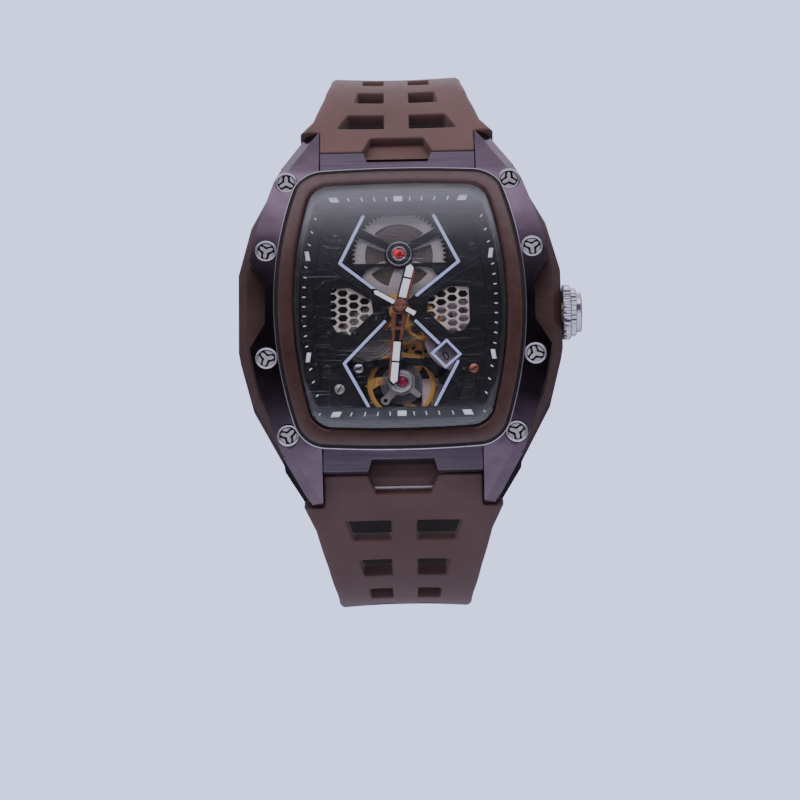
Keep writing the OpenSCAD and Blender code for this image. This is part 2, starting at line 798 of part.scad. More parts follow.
module balance_wheel() upright() color("#c9982f")
    translate([balance_at[0], balance_at[1], 0]) {
        z = plate_top + 1.75;
        difference() {
            disc(balance_r, z, 0.4, fn = 96);
            crossings(3, 0.9, balance_r - 0.45, z, 0.4, 0.5, 30);
        }
        for (a = [0:30:330])
            rotate(a)
                translate([balance_r - 0.05, 0, z + 0.2])
                    rotate([0, 90, 0])
                        cylinder(r = 0.15, h = 0.3, $fn = 12);
        disc(0.3, plate_z, arbor_top - plate_z, fn = 32);
        disc(0.55, plate_top + 0.6, 0.3, fn = 32);
        disc(0.6, z + 0.3, 0.65, fn = 32);
    }

module hairspring() upright() color("#9aa0b0") {
    echo(hairspring_gap = spiral_gap(0.56, 0.1));
    translate([balance_at[0], balance_at[1], 0])
        spiral(0.6, 0.56, 4.2, 0.1, 0.12, plate_top + 2.5);
}

module balance_bridge() upright() color("#17161b") {
    knee = [0, -6.4];
    difference() {
        union() {
            disc(1.75, bridge_z, bridge_t, balance_at);
            arm(knee, balance_at, 1, 1.2, bridge_z, bridge_t);
            disc(0.68, bridge_z, bridge_t, knee, 32);
            for (p = balance_posts()) {
                arm(p, knee, 1.3, 1.1, bridge_z, bridge_t);
                disc(0.95, bridge_z, bridge_t, p, 32);
            }
        }
        disc(1.35, bridge_z - 1, 3, balance_at);
    }
    for (p = balance_posts())
        post(p, bridge_z + 0.1);
}

module balance_jewel() upright() color("#8a1030")
    jewel_setting(balance_at, bridge_z, 1.35 - 0.02, bridge_t + 0.35);

module regulator() upright() color("#c0bfc4")
    difference() {
        union() {
            disc(1.75, bridge_z + bridge_t, 0.15, balance_at);
            arm(balance_at, balance_at + [-2.1, -2.4], 1.4, 0.8, bridge_z + bridge_t, 0.15);
            arm(balance_at, balance_at + [2.4, -1.9], 1.2, 0.6, bridge_z + bridge_t, 0.15);
            disc(0.6, bridge_z + bridge_t, 0.15, balance_at + [-2.1, -2.4], 32);
        }
        disc(1.35, bridge_z, 3, balance_at);
        disc(0.28, bridge_z, 3, balance_at + [-2.1, -2.4], 24);
    }

// A low bar under the centre that carries the third wheel and the intermediate wheel
module train_bridge() upright() color("#8d8a8c") {
    knee = [0.6, -2.95];
    p = train_posts();
    difference() {
        union() {
            arm(p[0], third_at, 1.3, 1.3, bar_z, bar_t);
            arm(third_at, knee, 1.3, 1.2, bar_z, bar_t);
            arm(knee, motion_at, 1.2, 1.2, bar_z, bar_t);
            arm(motion_at, p[1], 1.2, 1.3, bar_z, bar_t);
            disc(0.95, bar_z, bar_t, third_at, 32);
            disc(0.72, bar_z, bar_t, knee, 32);
            disc(0.8, bar_z, bar_t, motion_at, 32);
            disc(0.95, bar_z, bar_t, p[0], 32);
            disc(0.95, bar_z, bar_t, p[1], 32);
            disc(0.4, bar_z, dial_z - 0.1 - bar_z, motion_at, 32);
        }
        disc(0.3 + run, bar_z - 1, 3, third_at, 32);
    }
    post(p[0], bar_z + 0.1);
    post(p[1], bar_z + 0.1);
}

module minute_wheel() upright() color("#c9a24e")
    translate([motion_at[0], motion_at[1], 0]) {
        pitch = motion_d * motion_teeth / (cannon_leaves + motion_teeth);
        leaf_r = motion_d * motion_leaves / (motion_leaves + hour_teeth);
        difference() {
            union() {
                difference() {
                    gear(motion_teeth, pitch, motion_z, motion_t, motion_dir + 180 + 180 / motion_teeth,
                        0.11, 0.15);
                    crossings(4, 0.95, pitch - 0.5, motion_z, motion_t, 0.35);
                }
                gear(motion_leaves, leaf_r, motion_z, motion_t + 0.3,
                    motion_dir + 180 + 180 / motion_leaves, 0.11, 0.14, 0.2, 0.1);
            }
            disc(0.4 + run, 0, 20, fn = 32);
        }
    }

module hour_wheel() upright() color("#c9a24e") {
    pitch = motion_d * hour_teeth / (motion_leaves + hour_teeth);
    difference() {
        union() {
            gear(hour_teeth, pitch, motion_z + motion_t + 0.08, 0.2, motion_dir, 0.11, 0.15);
            disc(0.95, motion_z + motion_t + 0.08, hour_z + hand_t - motion_z - motion_t - 0.08, fn = 48);
        }
        disc(0.62 + 2 * run, 0, 20, fn = 48);
    }
}

// A flat hand with a hub, a short tail and a pointed tip
module hand(length, hub, w0, w1, tail, z, bore, at) {
    rotate(-at)
        difference() {
            union() {
                disc(hub, z, hand_t, fn = 48);
                translate([0, 0, z])
                    linear_extrude(hand_t)
                        polygon([
                            [w0 / 2, 0], [w1 / 2, length * 0.9], [0, length], [-w1 / 2, length * 0.9],
                            [-w0 / 2, 0], [-w0 / 4, -tail], [w0 / 4, -tail]
                        ]);
            }
            disc(bore, z - 1, 3, fn = 48);
        }
}

// Two raised inserts with a cross bar between them
module hand_lume(length, w, z, at) {
    rotate(-at)
        translate([-w / 2, 0, z + hand_t]) {
            translate([0, length * 0.4, 0])
                cube([w, length * 0.2, lume_t]);
            translate([0, length * 0.64, 0])
                cube([w, length * 0.24, lume_t]);
        }
}

module hour_hand() upright() color("#5a3226")
    hand(hour_len, 1.5, 1.7, 1.3, 1.2, hour_z, 0.95 + 0.005, hour_at);

module hour_lume() upright() color("white") hand_lume(hour_len, 0.8, hour_z, hour_at);

module minute_hand() upright() color("#5a3226")
    hand(minute_len, 1.25, 1.6, 1.3, 1.2, minute_z, 0.62 + 0.005, minute_at);

module minute_lume() upright() color("white") hand_lume(minute_len, 0.8, minute_z, minute_at);

module seconds_hand() upright() color("#8a5a48")
    rotate(-seconds_at)
        difference() {
            union() {
                disc(0.75, seconds_z, hand_t, fn = 40);
                translate([0, 0, seconds_z])
                    linear_extrude(hand_t)
                        polygon([
                            [0.3, 0], [0.35, 3.4], [0.09, 3.7], [0.06, seconds_len], [-0.06, seconds_len],
                            [-0.09, 3.7], [-0.35, 3.4], [-0.3, 0], [-0.42, -2.4], [0.42, -2.4]
                        ]);
            }
            disc(0.3 + 0.005, seconds_z - 1, 3, fn = 32);
        }

module seconds_lume() upright() color("white")
    rotate(-seconds_at)
        translate([0, 0, seconds_z + hand_t]) {
            translate([-0.22, 0.95, 0])
                cube([0.44, 2.3, lume_t]);
            translate([-0.27, -2.2, 0])
                cube([0.54, 1.2, lume_t]);
        }

// Crown and stem, drawn along +X
module along_x(x) {
    translate([x, 0, stem_z])
        rotate([90, 0, 90])
            children();
}

module crown() upright() color("silver") {
    x0 = wing + 0.15;
    flutes = 40;
    difference() {
        union() {
            along_x(x0)
                linear_extrude(crown_l * 0.42)
                    polygon(teeth(flutes, crown_r - 0.1, 0.1, 0.1, 0, 0.3, 0.14));
            along_x(x0)
                cylinder(r = crown_r - 0.44, h = crown_l * 0.72, $fn = 64);
            along_x(x0)
                cylinder(r = crown_r - 0.95, h = crown_l, $fn = 64);
        }
        along_x(x0 - 1)
            cylinder(r = 1.3 + 2 * run, h = 1.9);
        along_x(x0)
            cylinder(r = 0.6 + 0.01, h = crown_l - 0.6);
    }
}

stem_in = 9.4;
groove_x = 12.5;

module winding_stem() upright() color("#b8b8bc")
    difference() {
        union() {
            along_x(stem_in)
                cylinder(r = 0.6, h = wing + crown_l - 0.5 - stem_in);
            along_x(stem_in)
                linear_extrude(1.3)
                    polygon(teeth(14, 0.85, 0.08, 0.08));
        }
        along_x(groove_x - 0.35)
            difference() {
                cylinder(r = 2, h = 0.7);
                translate([0, 0, -1])
                    cylinder(r = 0.35, h = 3);
            }
    }

module crown_tube() upright() color("silver")
    difference() {
        along_x(cavity_w + 0.2)
            cylinder(r = 1.3, h = wing + 0.35 - cavity_w);
        along_x(cavity_w - 1)
            cylinder(r = 0.6 + 2 * run, h = 12);
    }

module setting_lever() upright() color("#b8b8bc")
    translate([groove_x - 0.2, 0, stem_z])
        difference() {
            translate([0, -0.8, -0.75])
                cube([0.4, 3, 1.5]);
            rotate([90, 0, 90])
                translate([0, 0, -1])
                    cylinder(r = 0.35 + run, h = 3, $fn = 32);
            translate([-1, -2, -0.38])
                cube([3, 2, 0.76]);
        }

// Case back, glass and rotor
module case_back() upright() color("#9a9aa0")
    difference() {
        plate(back_w, back_l, 3, 0, back_t);
        disc(back_glass_r - 0.7, -1, 4, fn = 96);
        disc(back_glass_r, 0.35, 4, fn = 96);
        four_ways() {
            disc(0.5 + run, -1, 4, back_screw_at(), 24);
            disc(0.95, -1, 1.4, back_screw_at(), 24);
        }
    }

module back_glass() upright() color("white", 0.35) {
    disc(back_glass_r - run, 0.35, 0.75, fn = 96);
    disc(back_glass_r - 0.7 - run, 0, 0.75, fn = 96);
}

module back_screws() upright() color("silver")
    four_ways()
        translate(concat(back_screw_at(), [0]))
            difference() {
                union() {
                    disc(0.9, 0.05, 0.35, fn = 32);
                    disc(0.5, 0.2, 3.6, fn = 24);
                }
                translate([-1, -0.12, -1])
                    cube([2, 0.24, 1.2]);
            }

module rotor() upright() color("#a8a4a0")
    difference() {
        union() {
            disc(3.2, rotor_z + 0.15, rotor_h - 0.3, fn = 64);
            intersection() {
                difference() {
                    union() {
                        disc(rotor_r, rotor_web_z, 0.3, fn = 128);
                        disc(rotor_r, rotor_z, rotor_h, fn = 128);
                    }
                    difference() {
                        disc(rotor_r - 3.4, back_t - 1, 5, fn = 96);
                        disc(rotor_r - 3, rotor_web_z, 0.3, fn = 96);
                    }
                }
                translate([-20, -20, 0])
                    cube([40, 20, 9]);
            }
        }
        disc(1.5 + run, 0, 9, fn = 48);
        for (a = [-130, -50])
            rotate(a)
                disc(1.5, 0, 9, [6.4, 0], 32);
    }

module rotor_bearing() upright() color("silver") {
    disc(1.5, back_t + 0.55, plate_z - back_t - 1.05, fn = 48);
    disc(5.5, plate_z - 0.5, 0.5);
}

// Strap: both halves are cut from side views that follow the buckled oval
module slots(s, rows) {
    for (i = [0:rows - 1]) {
        t = row_t(s, i);
        p = on_loop(s, t);
        n = loop_n(s, t);
        half = slot_l / 2;
        near = half_w(s, ahead(s, t, -half)) - slot_edge;
        far = half_w(s, ahead(s, t, half)) - slot_edge;
        edge = s > 0 ? [near, far] : [far, near];
        translate([0, p[0], p[1]])
            rotate([-s * atan2(s * n[0], n[1]), 0, 0])
                for (m = [0, 1])
                    mirror([m, 0, 0])
                        translate([0, 0, -strap_t * 1.5])
                            linear_extrude(strap_t * 3)
                                polygon([
                                    [slot_rib / 2, -half], [edge[0], -half],
                                    [edge[1], half], [slot_rib / 2, half]
                                ]);
    }
}

module strap_plan(s) {
    y0 = strap_edge_y - 3;
    lug_y = tip_y + 0.15;
    w = strap_w_lug / 2;
    scale([1, s])
        polygon([
            [half_gap - gap, y0], [half_gap - gap, lug_y], [w, lug_y], [w, 60],
            [-w, 60], [-w, lug_y], [-half_gap + gap, lug_y], [-half_gap + gap, y0]
        ]);
}

// The taper, drawn on a plane along the shoulder of the oval and cut square to it
function shoulder(s) = s > 0 ? 36 : 48;
function along_e(s, t) = let (p = on_loop(s, t)) s * p[0] * cos(shoulder(s)) - p[1] * sin(shoulder(s));
module strap_taper(s) {
    right = concat([[strap_w_lug / 2, -40]], [for (k = taper_at(s)) [half_w(s, k[0]), along_e(s, k[0])]],
        [[strap_w / 2, 90]]);
    rotate([-s * shoulder(s), 0, 0])
        translate([0, 0, -60])
            linear_extrude(120)
                scale([1, s])
                    polygon(concat(right, [for (i = [len(right) - 1:-1:0]) [-right[i][0], right[i][1]]]));
}

// Cuts a side view to the taper above the oval's middle and to the plain width below it
module strap_solid(s) {
    intersection() {
        side_view(-20, 40)
            children();
        union() {
            intersection() {
                translate([0, 0, loop_z])
                    linear_extrude(40)
                        strap_plan(s);
                strap_taper(s);
            }
            translate([-strap_w / 2, -60, loop_z - 60])
                cube([strap_w, 120, 60]);
        }
    }
}

// The strap's root between the lugs, under the end plate
function root_points(s) = [
    [s * strap_edge_y, plate_low - 0.2], [s * (end_y + 0.3), plate_low - 0.2], [s * (end_y + 0.3), 2.2],
    [s * (bar_y + 1), 1.9]
];
function root_t(s) = asin((bar_y + 4.6) / reach(s));
function first_t(s) = asin(strap_edge_y / reach(s));

module bar_bore(s) {
    translate([-20, s * bar_y, spring_bar_z])
        rotate([0, 90, 0])
            cylinder(r = spring_bar_r + run, h = 40, $fn = 32);
}

module pocket(s) {
    t = first_t(s) + 2;
    p = on_loop(s, t);
    n = loop_n(s, t);
    translate([0, p[0], p[1]])
        rotate([-s * atan2(s * n[0], n[1]), 0, 0])
            translate([0, 0, -0.7])
                linear_extrude(6)
                    scale([1, s])
                        polygon([[-4.6, -4], [4.6, -4], [4.6, 0], [3.5, 2.6], [-3.5, 2.6], [-4.6, 0]]);
}

module strap_12() upright() color("#52403f") {
    t0 = first_t(1);
    t1 = root_t(1);
    pin = on_loop(1, pin_t, -strap_t / 2);
    difference() {
        strap_solid(1)
            polygon(concat(
                [for (i = [0:29]) on_loop(1, t1 + (pin_t - t1) * i / 30, -strap_t)],
                [for (i = [6:-1:1]) pin + strap_t / 2 * turn(loop_n(1, pin_t), -30 * i)],
                [for (i = [30:-1:0]) on_loop(1, t0 + (pin_t - t0) * i / 30)],
                root_points(1)));
        translate([-30, pin[0], pin[1]])
            rotate([0, 90, 0])
                cylinder(r = spring_bar_r + run, h = 60, $fn = 32);
        slots(1, 4);
        bar_bore(1);
        pocket(1);
        translate([-1.3, pin[0] - 3, loop_z - loop_depth - 5])
            cube([2.6, 6, 12]);
    }
}

module strap_6() upright() color("#52403f") {
    t0 = first_t(-1);
    t1 = root_t(-1);
    end = 360 - tail_t;
    n = 56;
    difference() {
        strap_solid(-1)
            polygon(concat(
                [for (i = [n:-1:0]) let (t = t1 + (end - t1) * i / n) loop_any(t, step_at(t) - strap_t)],
                [for (i = [3:-1:0]) root_points(-1)[i]],
                [for (i = [0:n]) let (t = t0 + (end - t0) * i / n) loop_any(t, step_at(t))]));
        slots(-1, 4);
        bar_bore(-1);
        pocket(-1);
        for (t = [144:8:232])
            if (t != 184 && t != 176)
                hole(t);
        tongue_slot();
    }
}

// An adjusting hole through the strap at angle t
module hole(t) {
    p = loop_any(t, step_at(t));
    q = loop_any(t, step_at(t) - 1);
    translate([0, p[0], p[1]])
        rotate([atan2(q[0] - p[0], p[1] - q[1]), 0, 0])
            cylinder(r = 0.95, h = strap_t * 3, center = true, $fn = 32);
}

// The hole that the tongue passes through, long enough for it to swing
module tongue_slot() {
    translate([-0.95, on_loop(1, pin_t)[0] - 4.5, loop_z - loop_depth - 5])
        cube([1.9, 3.7, 12]);
}

module spring_bars() upright() color("silver") {
    for (s = [-1, 1])
        translate([-half_gap + 0.2, s * bar_y, spring_bar_z])
            rotate([0, 90, 0])
                cylinder(r = spring_bar_r, h = lug_gap - 0.4, $fn = 32);
    for (s = [-1, 1])
        translate([-half_gap - 0.8, s * bar_y, spring_bar_z])
            rotate([0, 90, 0])
                cylinder(r = 0.5, h = lug_gap + 1.6, $fn = 24);
    pin = on_loop(1, pin_t, -strap_t / 2);
    translate([-strap_w / 2 - buckle_wire, pin[0], pin[1]])
        rotate([0, 90, 0])
            cylinder(r = spring_bar_r, h = strap_w + 2 * buckle_wire, $fn = 32);
}

function far_bar() = loop_any(far_t, step_at(far_t) + far_r + 0.08);

// Two side arms on the pin and a far bar over the strap
module buckle_frame() upright() color("silver") {
    pin = on_loop(1, pin_t, -strap_t / 2);
    far = far_bar();
    inner = strap_w / 2 + 0.2;
    difference() {
        for (m = [0, 1])
            mirror([m, 0, 0])
                hull() {
                    translate([inner, pin[0], pin[1]])
                        rotate([0, 90, 0])
                            cylinder(r = 1.35, h = buckle_wire - 0.1, $fn = 32);
                    translate([inner, far[0], far[1]])
                        rotate([0, 90, 0])
                            cylinder(r = 1, h = buckle_wire - 0.1, $fn = 32);
                }
        translate([-30, pin[0], pin[1]])
            rotate([0, 90, 0])
                cylinder(r = spring_bar_r + run, h = 60, $fn = 32);
    }
    translate([-inner - 0.1, far[0], far[1]])
        rotate([0, 90, 0])
            cylinder(r = far_r, h = 2 * inner + 0.2, $fn = 32);
}

// The tongue loops round the pin, crosses the strap's hole and rests on the far bar
module buckle_tongue() upright() color("silver") {
    pin = on_loop(1, pin_t, -strap_t / 2);
    far = far_bar();
    difference() {
        union() {
            translate([-0.65, pin[0], pin[1]])
                rotate([0, 90, 0])
                    cylinder(r = 1.25, h = 1.3, $fn = 40);
            side_view(-0.65, 1.3)
                polygon([
                    pin + [0, 0.5], pin + [-1.2, 0.1], pin + [-2.3, -1.4], pin + [-3.6, -3.7],
                    [pin[0] - 4.2, far[1] - far_r - 0.07], far + [-1.5, -far_r - 0.07],
                    far + [-2.1, -far_r - 0.35], far + [-1.7, -far_r - 0.92],
                    [pin[0] - 3.6, far[1] - far_r - 0.92], pin + [-2.8, -4.1],
                    pin + [-1.5, -1.78], pin + [-0.9, -1.33], pin + [0, -1.2]
                ]);
        }
        translate([-3, pin[0], pin[1]])
            rotate([0, 90, 0])
                cylinder(r = spring_bar_r + run, h = 6, $fn = 32);
    }
}

// A band around both layers of the strap at angle t of the 12 o'clock side
module keeper(t, length) {
    p = on_loop(1, t, (step_d - strap_t) / 2);
    n = loop_n(1, t);
    wide = strap_w + 0.5;
    high = step_d + strap_t + 0.5;
    wall = 1.1;
    translate([0, p[0], p[1]])
        rotate([-atan2(n[0], n[1]), 0, 0])
            difference() {
                cube([wide + 2 * wall, length, high + 2 * wall], center = true);
                cube([wide, length + 2, high], center = true);
            }
}

module fixed_keeper() upright() color("#52403f") keeper(150, 5);

module free_keeper() upright() color("#52403f") keeper(135, 5);

case_middle();
rail_left();
rail_right();
end_plate_12();
end_plate_6();
bezel_screws();
bezel_ring();
crystal();
crystal_gasket();
chapter_ring();
chapter_markers();
dial_plate();
dial_screws();
lume_lines();
honeycomb();
date_frame();
date_disc();
movement_holder();
main_plate();
barrel_drum();
mainspring();
barrel_arbor();
barrel_bridge();
barrel_jewel();
centre_wheel();
minute_wheel();
third_wheel();
fourth_wheel();
escape_wheel();
pallet_fork();
balance_wheel();
hairspring();
balance_bridge();
balance_jewel();
regulator();
train_bridge();
hour_wheel();
hour_hand();
hour_lume();
minute_hand();
minute_lume();
seconds_hand();
seconds_lume();
crown();
winding_stem();
crown_tube();
setting_lever();
case_back();
back_glass();
back_screws();
rotor();
rotor_bearing();
strap_12();
strap_6();
spring_bars();
buckle_frame();
buckle_tongue();
fixed_keeper();
free_keeper();
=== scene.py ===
"""Looks of the skeleton watch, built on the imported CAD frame."""
import json
from math import asin, atan2, cos, degrees, dist, pi, radians, sin, sqrt, tan

import bmesh
import bpy
from mathutils import Matrix, Vector


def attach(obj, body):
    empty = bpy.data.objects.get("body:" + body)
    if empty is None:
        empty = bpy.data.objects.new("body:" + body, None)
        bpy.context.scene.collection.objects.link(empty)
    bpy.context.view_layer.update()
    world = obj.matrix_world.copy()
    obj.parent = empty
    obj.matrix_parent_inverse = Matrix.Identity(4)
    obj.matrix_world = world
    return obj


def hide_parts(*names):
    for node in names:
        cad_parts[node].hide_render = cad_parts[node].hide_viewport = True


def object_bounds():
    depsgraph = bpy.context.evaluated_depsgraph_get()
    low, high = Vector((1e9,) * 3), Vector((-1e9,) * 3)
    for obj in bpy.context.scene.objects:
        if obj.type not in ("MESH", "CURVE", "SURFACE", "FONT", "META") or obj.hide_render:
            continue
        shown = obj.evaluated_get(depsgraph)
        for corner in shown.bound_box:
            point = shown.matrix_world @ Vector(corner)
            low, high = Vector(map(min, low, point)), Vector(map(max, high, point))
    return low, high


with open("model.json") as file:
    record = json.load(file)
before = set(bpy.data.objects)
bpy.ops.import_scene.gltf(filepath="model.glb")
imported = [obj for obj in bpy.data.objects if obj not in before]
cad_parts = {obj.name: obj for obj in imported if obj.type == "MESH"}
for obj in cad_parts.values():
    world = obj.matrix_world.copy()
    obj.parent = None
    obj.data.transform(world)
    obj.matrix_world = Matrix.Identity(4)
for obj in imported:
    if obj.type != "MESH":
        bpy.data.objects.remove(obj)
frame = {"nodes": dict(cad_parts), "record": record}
cad_lo, cad_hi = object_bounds()

# Camera: a long lens a little below the dial's normal, rolled slightly, as in the photograph.
# Watch coordinates are millimetres with x to 3 o'clock, y to 12 and z out of the dial, and
# TO_ROW turns them into the row frame in metres.
MM = 0.001
TO_ROW = Matrix.Rotation(radians(90), 4, "X") @ Matrix.Scale(MM, 4)
PITCH, ROLL, DISTANCE, LENS, SENSOR, AIM_Z = 18.0, -1.14, 0.4, 139.3, 36, 10.5
IMAGE_PX, LIFT_PX = 800, -95.0


def put(name, data):
    o = bpy.data.objects.new(name, data)
    bpy.context.scene.collection.objects.link(o)
    return o


cam = put("camera", bpy.data.cameras.new("camera"))
cam.data.lens = LENS
cam.data.sensor_width = SENSOR
cam.data.clip_start, cam.data.clip_end = 0.01, 20
cam.data.dof.use_dof = False
pitch = radians(PITCH)
back = Vector((0, -cos(pitch), -sin(pitch)))
cam.location = TO_ROW @ Vector((0, 0, AIM_Z)) + back * DISTANCE
look = (-back).to_track_quat("-Z", "Y").to_matrix().to_4x4()
cam.matrix_world = Matrix.Translation(cam.location) @ look @ Matrix.Rotation(radians(ROLL), 4, "Z")
cam.data.shift_y = LIFT_PX / IMAGE_PX
bpy.context.scene.camera = cam


# Studio: a plain pale lavender room. A high soft box in front lights the steel, and the dark room
# lies below it, so the faces that turn straight forward go nearly black.
def add(t, kind, links=None, **values):
    n = t.nodes.new(kind)
    for k, v in values.items():
        if k.startswith("_"):
            setattr(n, k[1:], v)
        else:
            n.inputs[k.replace("_", " ")].default_value = v
    for k, out in (links or {}).items():
        t.links.new(out, n.inputs[k])
    return n


def ramp(t, fac, stops):
    n = t.nodes.new("ShaderNodeValToRGB")
    e = n.color_ramp.elements
    while len(e) < len(stops):
        e.new(0.5)
    for k, (pos, col) in zip(e, stops):
        k.position = pos
        k.color = (*col[:3], 1)
    t.links.new(fac, n.inputs["Fac"])
    return n.outputs["Color"]


def blend(t, fac, a, b):
    return add(t, "ShaderNodeMixShader", {0: fac, 1: a, 2: b}).outputs[0]


world = bpy.data.worlds.new("studio")
bpy.context.scene.world = world
world.use_nodes = True
t = world.node_tree
t.nodes.clear()
sky = t.nodes.new("ShaderNodeTexCoord")
axes = add(t, "ShaderNodeSeparateXYZ", {0: sky.outputs["Generated"]})
rise = add(t, "ShaderNodeMath", {0: axes.outputs["Z"]}, _operation="MULTIPLY_ADD")
rise.inputs[1].default_value = 0.5
rise.inputs[2].default_value = 0.5
front = ramp(t, rise.outputs[0], [
    (0.0, (0.14, 0.14, 0.17)), (0.34, (0.09, 0.085, 0.11)), (0.44, (0.009, 0.008, 0.01)),
    (0.70, (0.014, 0.013, 0.016)), (0.76, (0.15, 0.14, 0.18)), (0.8, (0.62, 0.58, 0.7)),
    (0.83, (1.0, 0.98, 1.2)), (0.88, (0.8, 0.78, 0.94)), (1.0, (0.3, 0.29, 0.34))])
across = add(t, "ShaderNodeMath", {0: axes.outputs["X"]}, _operation="ABSOLUTE")
side = ramp(t, across.outputs[0], [(0.4, (0, 0, 0)), (0.8, (1, 1, 1))])
walls = add(t, "ShaderNodeMixRGB", {"Fac": side, "Color1": front}, Color2=(0.15, 0.14, 0.18, 1))
mirrored = add(t, "ShaderNodeBackground", {"Color": walls.outputs[0]}, Strength=2.0)
above = ramp(t, rise.outputs[0], [
    (0.0, (0.3, 0.29, 0.34)), (0.45, (0.42, 0.41, 0.48)), (0.8, (1.0, 0.98, 1.12))])
soft = add(t, "ShaderNodeBackground", {"Color": above}, Strength=0.7)
seen = add(t, "ShaderNodeBackground", Strength=1.0, Color=(1.2, 1.3, 2.1, 1))
path = t.nodes.new("ShaderNodeLightPath")
inner = blend(t, path.outputs["Is Glossy Ray"], soft.outputs[0], mirrored.outputs[0])
outer = blend(t, path.outputs["Is Camera Ray"], inner, seen.outputs[0])
t.links.new(outer, t.nodes.new("ShaderNodeOutputWorld").inputs["Surface"])

# Each lamp has a name, a place, a size and a power in watts
LAMPS = (("key", (0.0, -0.5, 0.5), (0.7, 0.35), 7), ("fill", (-0.6, -0.55, 0.1), (0.4, 0.4), 1.2))
for name, place, size, power in LAMPS:
    lamp = bpy.data.lights.new(name, "AREA")
    lamp.shape = "RECTANGLE"
    lamp.size, lamp.size_y = size
    lamp.energy = power
    lamp.color = (0.96, 0.95, 1.0)
    holder = put(name, lamp)
    holder.visible_glossy = False
    holder.location = place
    holder.rotation_euler = (-Vector(place)).to_track_quat("-Z", "Y").to_euler()


# Case middle: a brown barrel with faceted wings, milled in one piece of metal, its edges broken.
# Its finish is a thin satin paint with fine grain and cloudy wear.
def srgb(color):
    f = lambda c: c / 12.92 if c <= 0.04045 else ((c + 0.055) / 1.055) ** 2.4
    return [f(c / 255) for c in color]


def tree(name):
    m = bpy.data.materials.new(name)
    m.use_nodes = True
    m.node_tree.nodes.clear()
    return m, m.node_tree


def surface(m, t, shader):
    t.links.new(shader, t.nodes.new("ShaderNodeOutputMaterial").inputs["Surface"])
    return m


def skin(m, t, color, rough, normal, **values):
    links = {"Base Color": color, "Roughness": rough, "Normal": normal}
    return surface(m, t, add(t, "ShaderNodeBsdfPrincipled", links, **values).outputs[0])


def spread(t, fac, lo, hi):
    n = add(t, "ShaderNodeMapRange", {"Value": fac}, From_Min=0.3, From_Max=0.7, To_Min=lo, To_Max=hi)
    return n.outputs["Result"]


def noise(t, stretch, detail=3.0, rough=0.55, turn=0.0):
    where = t.nodes.new("ShaderNodeTexCoord")
    scale = stretch if isinstance(stretch, tuple) else (stretch,) * 3
    m = add(t, "ShaderNodeMapping", {"Vector": where.outputs["Object"]},
            Rotation=(0, radians(turn), 0), Scale=scale)
    n = add(t, "ShaderNodeTexNoise", {"Vector": m.outputs[0]}, Scale=1.0, Detail=detail, Roughness=rough)
    return n.outputs["Fac"]


def bump(t, height, strength):
    return add(t, "ShaderNodeBump", {"Height": height}, Strength=strength, Distance=0.00002).outputs["Normal"]


# Two close colours under a grain whose stretch runs along the row axes: small numbers make long lines
def metal(name, a, b, rough, grain=(900, 900, 900), depth=0.06, metallic=1.0, coat=0.0):
    m, t = tree(name)
    lines = noise(t, grain, 4.0, 0.6)
    cloud = noise(t, 140, 4.0, 0.6)
    tone = add(t, "ShaderNodeMath", {0: lines, 1: cloud}, _operation="MULTIPLY").outputs[0]
    color = ramp(t, tone, [(0.12, srgb(a)), (0.42, srgb(b))])
    return skin(m, t, color, spread(t, cloud, *rough), bump(t, lines, depth),
                Metallic=metallic, Coat_Weight=coat, Coat_Roughness=0.25)


# A piece takes the body of its node, and stands for the node unless it hides nothing
def dress(o, mat, node, hides=True):
    o.data.materials.clear()
    o.data.materials.append(mat)
    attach(o, BODY[node])
    if hides:
        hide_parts(node)
    return o


BODY = {n: b for b, names in frame["record"]["behaviour"]["bodies"].items() for n in names}


def as_mesh(o):
    return bpy.data.meshes.new_from_object(o.evaluated_get(bpy.context.evaluated_depsgraph_get()))


# A copy of a node with its flat faces joined and its edges rounded, which stands for the node
def refine(node, mat, width=0.1, segments=2, angle=28.0, prepare=None):
    me = frame["nodes"][node].data.copy()
    bm = bmesh.new()
    bm.from_mesh(me)
    bmesh.ops.remove_doubles(bm, verts=bm.verts, dist=2e-7)
    bmesh.ops.dissolve_limit(bm, angle_limit=radians(0.6), verts=bm.verts, edges=bm.edges)
    if prepare:
        prepare(bm)
    bm.to_mesh(me)
    bm.free()
    o = put(node + "_fine", me)
    b = o.modifiers.new("bevel", "BEVEL")
    b.width = width * MM
    b.segments = segments
    b.limit_method = "ANGLE"
    b.angle_limit = radians(angle)
    o.modifiers.new("weighted", "WEIGHTED_NORMAL").keep_sharp = False
    for poly in me.polygons:
        poly.use_smooth = True
    new = as_mesh(o)
    o.modifiers.clear()
    o.data = new
    return dress(o, mat, node)


case_brown = metal("case_brown", (50, 34, 32), (66, 46, 43), (0.34, 0.46), metallic=0.15, coat=0.08)
refine("case_middle", case_brown, 0.4, 3, 20)


# Rails: two polished gunmetal bands that carry the lugs, held by four screws each.
# A wide chamfer is cut along each lug's outer edge, and a fine bright line runs round every edge.
LUG_FOOT, LUG_END = Vector((15.3, 19.7, 0)), Vector((12.6, 24.1, 0))
LUG_TIP_Y, LUG_TIP_Z, LUG_FALL = 25.3, 7.0, 0.469
CHAMFER_TOP, CHAMFER_SIDE = 1.2, 0.9


